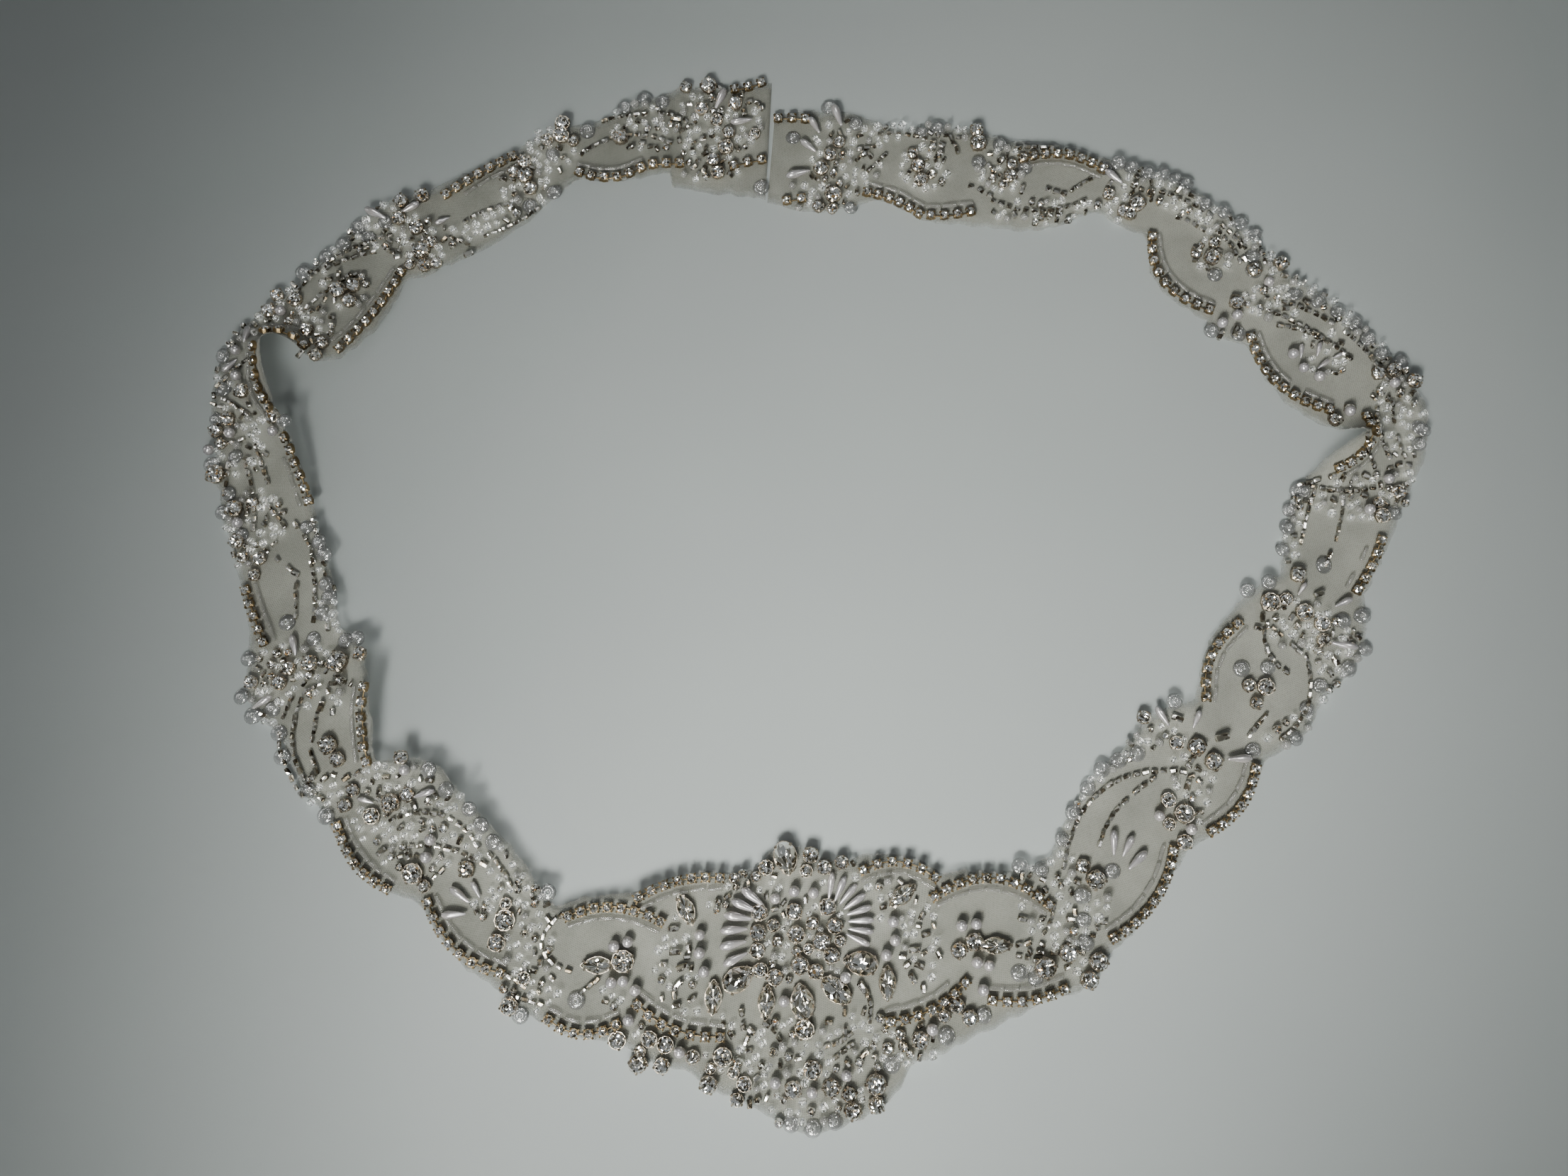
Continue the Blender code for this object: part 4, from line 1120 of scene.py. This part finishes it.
# Sequins, 5 mm: x, y.
sequins = [
    (-69, -127), (56, -119.5), (60.5, -121), (57, -89), (63.5, -91), (45.5, -131), (75.4, -111.2),
    (75, -98.5), (75, -105), (19.5, -144), (35, -136.5), (70, -82.5), (73.5, -75), (78, -68),
    (82.5, -62.5), (87.5, -60), (93, -58), (84, -91.5), (105, -42.5), (127, -57), (140, -53.5),
    (144, -45), (125.6, -33), (133.5, -32.6), (148.5, -38), (157.5, -33), (157.4, -18.5), (163, -17),
    (163, -27), (129, -9), (136, -6.6), (153, -1.5), (144, 16), (143, 10.5), (147, 22), (176, 15),
    (186.5, 42.5), (127, 93.6), (139.5, 100), (152, 87), (159, 84.6), (165, 81), (170, 77),
    (173.6, 71.6), (177.6, 67), (183.4, 64), (141, 108), (108, 129.5), (113, 129), (120, 125.6),
    (102.6, 131.5), (94, 131), (60, 139.5), (34.5, 144), (40, 145.6), (53, 133), (68, 131),
    (4, 153), (13, 147), (-7.5, 142), (11, 117), (-18, 124), (-94.6, -83.4), (-98.4, -78.6),
    (-102, -74), (-109, -68.5), (-114.5, -62.6), (-76, -96), (-84.6, -131), (-143.4, -76),
    (-149, -68.6), (-157.6, -59), (-159, -52), (-161.6, -45), (-168, -48), (-172.4, -41.6),
    (-170, -30), (-141.6, -24.4), (-135.6, -24), (-158, 44), (-152, 6), (-156, 10.6), (-149, -7),
    (-189, 30), (-159.5, -19), (-157, 100), (-152, 104.4), (-165, 95), (-147.6, 110), (-86, 136),
    (-75, 144.4), (-63, 153), (-56.6, 156.4), (-50.6, 155), (-85, 122.5), (-8.5, -159.4), (-2.6, -160.6),
    (3.6, -158.8), (-92.6, 117.6), (-180, 33),
    (126, 118.5), (131.5, 115.5), (136.5, 111.5), (139.5, 95), (124.5, 74.5),
    (133, 73.5), (188, 41.5), (186, 37), (149, 22), (141, 3.5), (117, 127.5), (98.5, 133),
    (-150, 2), (-147.5, -11), (-149, -16), (-151, -24), (-187, 66), (-185.5, 55), (-187, 45),
    (-181, 21), (-182, 15), (-176, 8), (-144, 106.5), (-139, 112),
]

# Broad silver-lined beads: x, y, heading, length.
broadDashes = [
    (-42, -107.5, 10, 3), (-41.5, -113.8, 0, 3.2), (-39.3, -118, 20, 3.6), (-40.5, -122.8, 45, 3.2),
    (-36.5, -126.6, 30, 2.6), (29.7, -109, 20, 2.6), (26.5, -113.2, 5, 3.2), (27.7, -117.5, -25, 3),
    (25.8, -121, -60, 3.2), (11.6, -123.4, -50, 3.4), (105.5, -47.6, -20, 3.4), (118, -53.4, 15, 4),
    (150.5, -10.5, 20, 3), (153.4, -30.5, -65, 3.5), (127, 72.6, 60, 3), (132, 74, 70, 3.5),
    (66.5, 123, 75, 3), (-46, 148.4, -10, 3.4), (-21, -137.6, 70, 3), (12, -141, 40, 3),
    (-111.4, 100.4, 30, 3.2), (-164, 62, 60, 3), (-147, -44, 70, 3.2), (-126.4, -86, 40, 3),
]

# Rows of small silver-lined beads: start, end, bulge.
dashRows = [
    (-74, -103.5, -71.5, -119, -6.6), (-67, -124.5, -63.5, -121.5, 0), (-90, -119.5, -84, -123, 0),
    (-84, -118.5, -76, -121, 0.5), (-86, -126, -79, -128, 0), (56, -112, 66.5, -101, -3),
    (62, -114, 66, -114, 0), (56, -115, 61, -116, 0), (-22.5, -130, -22, -134, 0),
    (-15.5, -133.4, -12, -137, 0.4), (1.5, -139, 8, -136, -0.5), (6.5, -130, 6.5, -135, 0.4),
    (13, -125, 13.5, -132, 0.5), (4, -142, 8, -139, 0),
    (70, -90, 106, -63.5, 10), (80.5, -84, 88.5, -72, 1), (92, -69, 97, -65.5, 0),
    (126.5, -52.5, 131.5, -47, 0), (133.5, -55, 145, -30, -5), (133, -22, 138.5, -34, -2),
    (136, -21, 143, -28, 0), (146, 3, 152, 21, 0.5), (152, 23, 170, 22.6, -1), (153.5, -1, 160.5, 18, -1),
    (148, 24, 158, 26.5, 0), (179, 50, 181, 33, -1), (174, 48, 176, 33, -1), (170, 40, 171, 30, -0.5),
    (176, 29, 182, 30, 0.5), (148, 84, 178, 58, 4.4), (143, 81, 167, 65, 1.5), (146, 76, 160, 70.6, 1.0),
    (112, 122, 137, 101, 3.5), (114, 114, 124, 109, 0.6), (135, 107, 137, 103, 0), (142, 104, 143, 98, 0),
    (129, 108, 135, 98, 0.6), (57, 119, 86, 119, -3.5), (75, 123, 80, 121.4, 0), (83, 123, 89, 127, 0),
    (50, 124, 56, 121, 0.3), (21, 143, 41, 139, 1.5), (44, 141.6, 46, 137, 0), (14, 137.5, 19, 138.5, 0),
    (17, 130, 22, 135, 0), (66, 138, 82, 137.4, 0.6),
    (-124, -77, -99, -84, 5), (-118, -84.6, -100, -88, 1.5), (-95, -87, -89, -95, 0.3),
    (-152, -40, -145, -71, -6), (-156, -42, -151, -70, -5), (-148, -46, -149, -54, 0),
    (-149, -58, -147, -63, 0), (-150, -39, -146, -36.6, 0), (-164, 0, -158, -4, 0),
    (-157.5, -8, -157, -17, 0), (-159, 11, -153, 0, 0.8), (-153.6, -1, -151.4, -18, 0.8),
    (-168, 17, -163, 11, 0), (-176, 30, -172, 13, 0.6), (-181.4, 30, -182, 21, 0), (-173.5, 36, -169, 25, 0),
    (-188, 50, -185.6, 49, 0), (-184.6, 51.4, -177, 47, 0), (-187, 56, -177, 66, 0.5),
    (-163, 80, -149, 93, 1),
    (-165, 88, -137, 107, 3), (-156, 96, -142, 101, 0.5), (-117, 106, -112, 104, 0),
    (-113, 112, -100, 118, 0.5), (-106, 107, -90, 116, -0.8), (-72, 147, -48, 150, 1.5),
    (-76, 136, -48, 140, 4.5), (-44, 144, -40, 147, 0), (-40, 140, -34, 142, 0.3),
]

# Loose beading scattered in ovals: x, y, half width, half depth, count.
beadPatches = [
    (-84, -112, 8, 17, 70), (-82, -125, 8, 5, 30), (66, -100, 10, 14, 55), (66, -115, 12, 5, 22),
    (-41, -117, 6, 13, 25), (28, -112, 6, 13, 25), (-12, -140, 25, 8, 50), (-5, -110, 13, 13, 40),
    (15, -138, 18, 8, 28), (-57, -125, 6, 5, 12), (108, -66, 6, 12, 25), (74, -100, 8, 12, 30),
    (-20, -97, 14, 8, 22), (12, -97, 12, 8, 22), (-5, -152, 16, 8, 26), (-40, -134, 14, 6, 16),
    (143, -20, 12, 8, 35), (152, -28, 8, 8, 20), (165, 20, 14, 8, 50), (178, 22, 6, 8, 15),
    (180, 45, 8, 14, 38), (158, 66, 8, 8, 20), (145, 84, 10, 6, 30), (126, 100, 6, 6, 12),
    (100, 122, 8, 7, 20), (60, 130, 8, 8, 30), (75, 115, 20, 4, 30), (35, 131, 8, 8, 20),
    (10, 135, 12, 14, 45), (0, 122, 10, 7, 20), (-31, 148, 14, 12, 50), (-35, 133, 12, 7, 25),
    (-55, 143, 12, 6, 25), (-87, 136, 8, 8, 30), (-95, 125, 8, 7, 20), (-127, 105, 12, 8, 45),
    (-140, 110, 12, 8, 35), (-150, 88, 8, 6, 20), (-170, 78, 12, 8, 42), (-184, 62, 6, 14, 34),
    (-180, 45, 8, 8, 32), (-178, 33, 8, 8, 30), (-172, 12, 10, 10, 48), (-172, 2, 6, 5, 10),
    (-155, -35, 14, 10, 58), (-145, -40, 8, 6, 20), (-143, -68, 8, 5, 18), (-125, -68, 14, 8, 44),
    (-122, -85, 6, 6, 14), (-112, -88, 5, 5, 15), (-95, -100, 5, 5, 15), (-160, 76, 8, 7, 20),
]

# Loose beading scattered along arcs: start, end, bulge, width, count.
beadBands = [
    (66, -90, 106, -52, 10, 7, 70), (133, -55, 160, -22, -5, 7, 50), (141, 0, 150, 24, 0, 5, 22),
    (186, 55, 140, 100, -5, 7, 70), (142, 97, 104, 128, -4, 7, 55), (20, 143, 50, 143, 1, 5, 28),
    (-70, 152, -48, 148, 1.5, 6, 28), (-118, 106, -88, 119, 0, 6, 35), (-170, 85, -140, 108, 3, 7, 50),
    (-155, 12, -148, -15, 0, 6, 28), (-165, -35, -148, -72, -5, 7, 55), (-118, -76, -85, -98, 4, 7, 55),
    (102, 131, 140, 104, -4, 6, 50), (-153, 12, -146, -22, 1, 5, 36), (-135, -80, -100, -60, -6, 7, 40),
    (60, 117, 100, 115, -3, 5, 30), (-24, -150, 16, -158, 3, 6, 26),
]

chainSizes = {"pitch": 4.05, "stand": 0.1, "linkThickness": 0.4, "linkHeight": 0.35, "unevenness": 0.06}
bugleSizes = {"inset": 3.3, "spacing": 4.9, "trim": 0.08, "shortestRun": 12.0}
dashSizes = {"spacing": 2.75, "missing": 0.06, "tilt": 0.16, "sizeSpread": 0.12}
beadSizes = {
    "clearShare": 0.5, "milkyShare": 0.1, "crystalShare": 0.14, "gap": 0.25,
    "smallest": 2.0, "largest": 3.0, "seed": 41,
}
sequinSizes = {"width": 5.0, "tilt": 0.16, "beadWidth": 1.8, "roomShare": 0.34}

pieces = []
taken = []                      # what is already on the net: place and radius


def sighted(place):             # where a place is seen against the table top
    return cameraPlace.xy + (place.xy - cameraPlace.xy) * (cameraPlace.z / (cameraPlace.z - place.z))


def take(place, radius):
    taken.append((Vector(place), radius))


def isFree(flat, radius):
    return all((flat - other).length > radius + room for other, room in taken)


def rowAt(x, y, heading, size, lift=0.05):
    place, normal = netSeen(x, y)
    place, turn = standing(place, normal, math.radians(heading), lift)
    return place, turn, size


def sew(name, finish, piece, rows, size=1.0, sizeSpread=0.04, tilt=0.06, seed=1):
    made = grown(name, pointsObject(name + "Points", rows), sewnPieces, {
        "Piece": singlePieces[piece], "Finish": finish, "Size": size, "Size Spread": sizeSpread,
        "Tilt": tilt, "Seed": seed,
    })
    pieces.append(made)
    return made


def string(name, finish, piece, lines, spacing, size=1.0, sizeSpread=0.04, tilt=0.06, missing=0.0, seed=1):
    made = grown(name, linesObject(name + "Lines", lines), alongLines, {
        "Piece": singlePieces[piece], "Finish": finish, "Size": size, "Size Spread": sizeSpread,
        "Tilt": tilt, "Seed": seed, "Spacing": spacing * mm, "Missing": missing,
    })
    pieces.append(made)
    return made


def lineUnder(start, end, bulge, lift, trim=0.0):           # an arc laid on the net from straight above
    steps = max(4, int((Vector(end) - Vector(start)).length))
    line = []
    for step in range(steps + 1):
        place, normal = netUnder(*arcPoint(start, end, bulge, trim + (1.0 - 2.0 * trim) * step / steps))
        line.append((place + normal.lerp(up, 0.3).normalized() * lift, normal))
    return line


def lineSeen(start, end, bulge, lift):
    steps = max(3, int((Vector(end) - Vector(start)).length))
    line = []
    for step in range(steps + 1):
        place, normal = netSeen(*arcPoint(start, end, bulge, step / steps))
        line.append((place + normal.lerp(up, 0.3).normalized() * lift, normal))
    return line


def frayedEdge():               # short net fibres that stand out of the cut edge
    dice = random.Random(fraySizes["seed"])
    across, mesh = netSizes["pointsAcross"], netBase.data
    rows = len(mesh.vertices) // (2 * across)
    lines = []
    for _ in range(fraySizes["count"]):
        row, side = dice.randrange(1, rows - 1), dice.choice((0, across - 1))
        inside = mesh.vertices[row * across + abs(side - 2)].co / mm
        edge = mesh.vertices[row * across + side].co / mm
        edge = edge.lerp(mesh.vertices[(row + 1) * across + side].co / mm, dice.random())
        out = (edge - inside).normalized()
        out.rotate(Matrix.Rotation(dice.uniform(-1.1, 1.1), 3, "Z"))
        reach = dice.uniform(*fraySizes["length"])
        if dice.random() < fraySizes["longShare"]:
            reach *= 3.0
        curl = Vector((-out.y, out.x, 0.0)) * dice.uniform(-0.5, 0.5) * reach
        start = edge - out * 0.5 + up * 0.15
        line = [start + out * (reach * k / 4.0) + curl * (k / 4.0) ** 2 for k in range(5)]
        lines.append([(Vector((point.x, point.y, max(point.z, 0.12))), up) for point in line])
    made = grown("frayedEdge", linesObject("frayLines", lines), threadOnLines, {
        "Finish": sewingThread, "Thickness": fraySizes["thickness"] * mm, "Sides": 3})
    pieces.append(made)


print("frayed edge")
fraySizes = {"count": 3600, "length": (0.4, 1.3), "longShare": 0.004, "thickness": 0.055, "seed": 3}
frayedEdge()


print("chain")
chainLines = [lineUnder(start, end, bulge, chainSizes["stand"]) for _, start, end, bulge in chainRuns]
for name, start, end, bulge in chainRuns:
    for place, _ in lineUnder(start, end, bulge, 1.0):
        take(sighted(place), 1.6)
chainCups = string("chainCups", agedCup, "chainCup", chainLines, chainSizes["pitch"],
                   tilt=chainSizes["unevenness"], sizeSpread=0.03, seed=3)
chainStones = string("chainStones", foiledCrystal, "chainStone", chainLines, chainSizes["pitch"],
                     tilt=chainSizes["unevenness"], sizeSpread=0.03, seed=3)
linkLines = [lineUnder(start, end, bulge, chainSizes["linkHeight"]) for _, start, end, bulge in chainRuns]
chainLinks = grown("chainLinks", linesObject("linkLines", linkLines), threadOnLines, {
    "Finish": agedCup, "Thickness": chainSizes["linkThickness"] * mm, "Sides": 5})
pieces.append(chainLinks)


print("large stones")
for cut in stoneCuts:
    line = cutLine(cut)
    height = stoneCuts[cut][2]
    singlePieces[cut] = stonePiece(cut + "Piece", line, 1.35, height, 0.5)
    markRays(singlePieces[cut], cut)
    shape = bmesh.new()
    collar(shape, line, 0.05, 1.3, 0.2, 0.3, 18)
    for degrees in (42, 138, 222, 318):
        claw(shape, line, math.radians(degrees), 0.2, 1.75, 0.75, 0.5)
    singlePieces[cut + "Setting"] = fromShape(cut + "SettingPiece", shape, smooth=False)
stoneRows = {cut: [] for cut in stoneCuts}
for _, cut, centre, heading in bigStones:
    place, normal = netUnder(*centre)
    stoneRows[cut].append((*standing(place, normal, math.radians(heading), 0.1), 1.0))
    along = Vector((math.cos(math.radians(heading)), math.sin(math.radians(heading))))
    for share in (-0.3, 0.0, 0.3):
        take(sighted(place + up * 1.5) + along * (share * stoneCuts[cut][0]), stoneCuts[cut][1] * 0.46)
stonePieces = {}
for cut, rows in stoneRows.items():
    stonePieces[cut] = sew(cut + "Stones", bigCrystal, cut, rows, seed=5, sizeSpread=0.02)
    sew(cut + "Settings", silverSetting, cut + "Setting", rows, seed=5, sizeSpread=0.02)


print("chatons")
for x, y, width in chatons:
    take((x, y), width * 0.5)
dice = random.Random(7)
chatonRows = [rowAt(x, y, dice.uniform(0.0, 90.0), width * 0.96) for x, y, width in chatons]
sew("chatonCups", silverSetting, "chatonCup", chatonRows, seed=11, tilt=0.12)
sew("chatonStones", foiledCrystal, "chatonStone", chatonRows, seed=11, tilt=0.12)


print("pearls")
dropRows, slimRows = [], []
for x, y, heading, length in dropPearls:
    dropRows.append(rowAt(x, y, heading, length))
    along = Vector((math.cos(math.radians(heading)), math.sin(math.radians(heading))))
    for share in (-0.3, 0.0, 0.3):
        take(Vector((x, y)) + along * (share * length), 1.2)
for fan in pearlFans:
    for index in range(fan["count"]):
        share = index / (fan["count"] - 1)
        angle = fan["angles"][0] + (fan["angles"][1] - fan["angles"][0]) * share
        radius = fan["radii"][0] + (fan["radii"][1] - fan["radii"][0]) * share
        out = Vector((math.cos(math.radians(angle)), math.sin(math.radians(angle))))
        centre = Vector(fan["centre"]) + out * (radius - 0.5 * fan["length"])
        rows = slimRows if fan["slim"] else dropRows
        rows.append(rowAt(centre.x, centre.y, angle + 180.0, fan["length"]))
        for along in (-0.35, 0.0, 0.35):
            take(centre + out * (along * fan["length"]), 1.2)
for x, y in roundPearls:
    take((x, y), 1.7)
sew("dropPearls", pearlCoat, "drop", dropRows, seed=13, tilt=0.05)
sew("slimDropPearls", pearlCoat, "slimDrop", slimRows, seed=14, tilt=0.05)
sew("roundPearls", pearlCoat, "pearl", [rowAt(x, y, 0.0, 3.4) for x, y in roundPearls], seed=15)


print("sequins")
dice = random.Random(17)
sequinRows, sequinBeads = [], []
for x, y in sequins:
    tilt = dice.uniform(0.0, 360.0)
    sequinRows.append(rowAt(x, y, tilt, dice.uniform(0.92, 1.06), 0.15))
    sequinBeads.append(rowAt(x, y, tilt, sequinSizes["beadWidth"] * dice.uniform(0.85, 1.1), 0.55))
    take((x, y), sequinSizes["width"] * sequinSizes["roomShare"])
sew("sequinDiscs", sequinFilm, "sequin", sequinRows, seed=19, tilt=sequinSizes["tilt"])
sew("sequinBeads", clearGlass, "bead", sequinBeads, seed=20, tilt=0.1)


print("silver-lined beads")
broadRows = [rowAt(x, y, heading, length) for x, y, heading, length in broadDashes]
sew("broadDashes", silverLined, "wideDash", broadRows, seed=23)
for x, y, heading, length in broadDashes:
    take((x, y), 1.5)
dashLines = []
for x0, y0, x1, y1, bulge in dashRows:
    line = lineSeen((x0, y0), (x1, y1), bulge, 0.06)
    dashLines.append(line)
    for place, _ in line:
        take(sighted(place), 0.75)
string("smallDashes", silverLined, "dash", dashLines, dashSizes["spacing"], seed=25,
       sizeSpread=dashSizes["sizeSpread"], tilt=dashSizes["tilt"], missing=dashSizes["missing"])


print("bugles")


def isOverNet(flat):
    return netTop.ray_cast(Vector((*flat, 100.0)), -up)[0] is not None


bugleLines = []
for name, start, end, bulge in chainRuns:
    chord = Vector(end) - Vector(start)
    if chord.length < bugleSizes["shortestRun"]:
        continue
    left = Vector((-chord.y, chord.x)).normalized()
    inset = left * (-bugleSizes["inset"] if bulge > 0.0 else bugleSizes["inset"])
    if not isOverNet((Vector(start) + Vector(end)) * 0.5 + inset * 2.0):
        inset.negate()
    line = lineUnder(Vector(start) + inset, Vector(end) + inset, bulge, 0.05, bugleSizes["trim"])
    bugleLines.append(line)
    for place, _ in line:
        take(sighted(place), 0.8)
string("bugles", bugleGlass, "bugle", bugleLines, bugleSizes["spacing"], seed=27, tilt=0.05, missing=0.05)


print("loose beads")


def scatterBeads():
    dice = random.Random(beadSizes["seed"])
    rows = {"clear": [], "milky": [], "crystal": [], "silver": []}

    def tryBead(flat):
        width = dice.uniform(beadSizes["smallest"], beadSizes["largest"])
        if not isFree(flat, width * 0.5 + beadSizes["gap"] * 0.5 - 0.2):
            return False
        towards = Vector((*flat, 0.0)) - cameraPlace
        if netTop.ray_cast(cameraPlace, towards.normalized())[0] is None:
            return False
        take(flat, width * 0.5)
        luck = dice.random()
        heading = dice.uniform(0.0, 360.0)
        shares = (("clear", "clearShare"), ("milky", "milkyShare"), ("crystal", "crystalShare"))
        for kind, share in shares:
            luck -= beadSizes[share]
            if luck < 0.0:
                rows[kind].append(rowAt(flat.x, flat.y, heading, width))
                return True
        rows["silver"].append(rowAt(flat.x, flat.y, heading, width * 0.42))
        return True

    for x, y, wide, deep, count in beadPatches:
        placed = 0
        for _ in range(count * 30):
            angle, radius = dice.uniform(0.0, 2.0 * math.pi), math.sqrt(dice.random())
            flat = Vector((x + math.cos(angle) * radius * wide, y + math.sin(angle) * radius * deep))
            placed += tryBead(flat)
            if placed == count:
                break
    for x0, y0, x1, y1, bulge, width, count in beadBands:
        placed = 0
        for _ in range(count * 30):
            flat = arcPoint((x0, y0), (x1, y1), bulge, dice.random())
            chord = Vector((x1 - x0, y1 - y0)).normalized()
            flat = flat + Vector((-chord.y, chord.x)) * dice.uniform(-0.5, 0.5) * width
            placed += tryBead(flat)
            if placed == count:
                break
    return rows


looseBeads = scatterBeads()
sew("clearBeads", clearGlass, "beadOnEdge", looseBeads["clear"], seed=31, tilt=0.3)
sew("milkyBeads", milkyGlass, "beadOnEdge", looseBeads["milky"], seed=32, tilt=0.3)
sew("clearCrystals", foiledCrystal, "crystal", looseBeads["crystal"], seed=33, tilt=0.3)
sew("looseDashes", silverLined, "dash", looseBeads["silver"], seed=34, tilt=0.3)
print({kind: len(rows) for kind, rows in looseBeads.items()})


for piece in singlePieces.values():
    bpy.data.objects.remove(piece)

netBase.data.materials.append(netCloth)
pieces.append(netBase)
for piece in pieces:
    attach(piece, "root")
netNodes = [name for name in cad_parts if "_net" in name]
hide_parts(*netNodes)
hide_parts(*[name for name, *_ in chainRuns])
for cut, piece in stonePieces.items():
    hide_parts(*[name for name, kind, _, _ in bigStones if kind == cut])


print("camera, lights and floor")


def makeFloor():
    shape = bmesh.new()
    bmesh.ops.create_grid(shape, x_segments=8, y_segments=8, size=2.5)
    floor = fromShape("paleFloor", shape)
    floor.data.materials.append(floorFinish())


def softBox(name, place, target, width, height, power, colour, spread=180.0):
    lamp = bpy.data.lights.new(name, "AREA")
    lamp.shape = "RECTANGLE"
    lamp.size, lamp.size_y = width, height
    lamp.energy, lamp.color, lamp.spread = power, colour, math.radians(spread)
    box = bpy.data.objects.new(name, lamp)
    bpy.context.scene.collection.objects.link(box)
    box.location = place
    box.rotation_euler = (Vector(target) - Vector(place)).to_track_quat("-Z", "Y").to_euler()
    return box


def makeCamera():
    lens = bpy.data.cameras.new("viewFromFront")
    lens.sensor_width, lens.lens = cameraSizes["sensor"], cameraSizes["lens"]
    lens.clip_start, lens.clip_end = 0.01, 20.0
    camera = bpy.data.objects.new("viewFromFront", lens)
    bpy.context.scene.collection.objects.link(camera)
    camera.location = cameraPlace * mm
    camera.rotation_euler = (math.radians(cameraSizes["tilt"]), 0.0, 0.0)
    bpy.context.scene.camera = camera


def makeLights():               # one soft lamp low at the front, with dim boxes round it for the stones
    softBox("frontBox", (-0.20, -0.54, 0.50), (0.035, -0.02, 0.0), 0.22, 0.22, 0.5, (1.0, 1.0, 0.96), 42.0)
    softBox("sparkleBox", (0.04, -0.60, 0.55), (0.03, -0.04, 0.0), 0.07, 0.07, 0.16, (1.0, 1.0, 0.98), 70.0)
    softBox("otherSideBox", (-0.75, 0.15, 0.4), (0.0, 0.0, 0.0), 0.25, 0.3, 0.55, (0.98, 0.99, 1.0))
    softBox("overheadBox", (0.06, -0.06, 0.5), (0.02, -0.03, 0.0), 0.2, 0.2, 0.06, (0.96, 0.99, 1.0))
    softBox("sideBox", (0.7, -0.1, 0.45), (0.0, 0.0, 0.0), 0.3, 0.25, 0.08, (0.98, 0.99, 1.0))
    softBox("backBox", (0.1, 0.8, 0.45), (0.0, 0.0, 0.0), 0.4, 0.16, 0.12, (0.95, 0.98, 1.0))
    for name, place, size, power in (("leftGlint", (-0.16, -0.16, 0.42), 0.12, 1.5),
                                     ("rightGlint", (0.28, 0.02, 0.42), 0.09, 0.65),
                                     ("backGlint", (-0.1, 0.3, 0.42), 0.09, 0.55)):
        softBox(name, place, (0.0, 0.0, 0.0), size, size, power, (1.0, 1.0, 0.99)).visible_diffuse = False
    world = bpy.data.worlds.new("studioAir")
    world.use_nodes = True
    build = treeBuilder(world.node_tree)
    background = world.node_tree.nodes["Background"].inputs
    background["Color"].default_value = (0.34, 0.36, 0.36, 1.0)
    path = build.add("ShaderNodeLightPath", {}, {}).outputs     # pale walls, seen in the stones and glass
    walls = build.calc("ADD", mapped(build, path["Is Glossy Ray"], 0.09, 0.55),
                       mapped(build, path["Is Transmission Ray"], 0.0, 1.2))
    build.put(background["Strength"], walls)
    bpy.context.scene.world = world


makeFloor()
makeCamera()
makeLights()
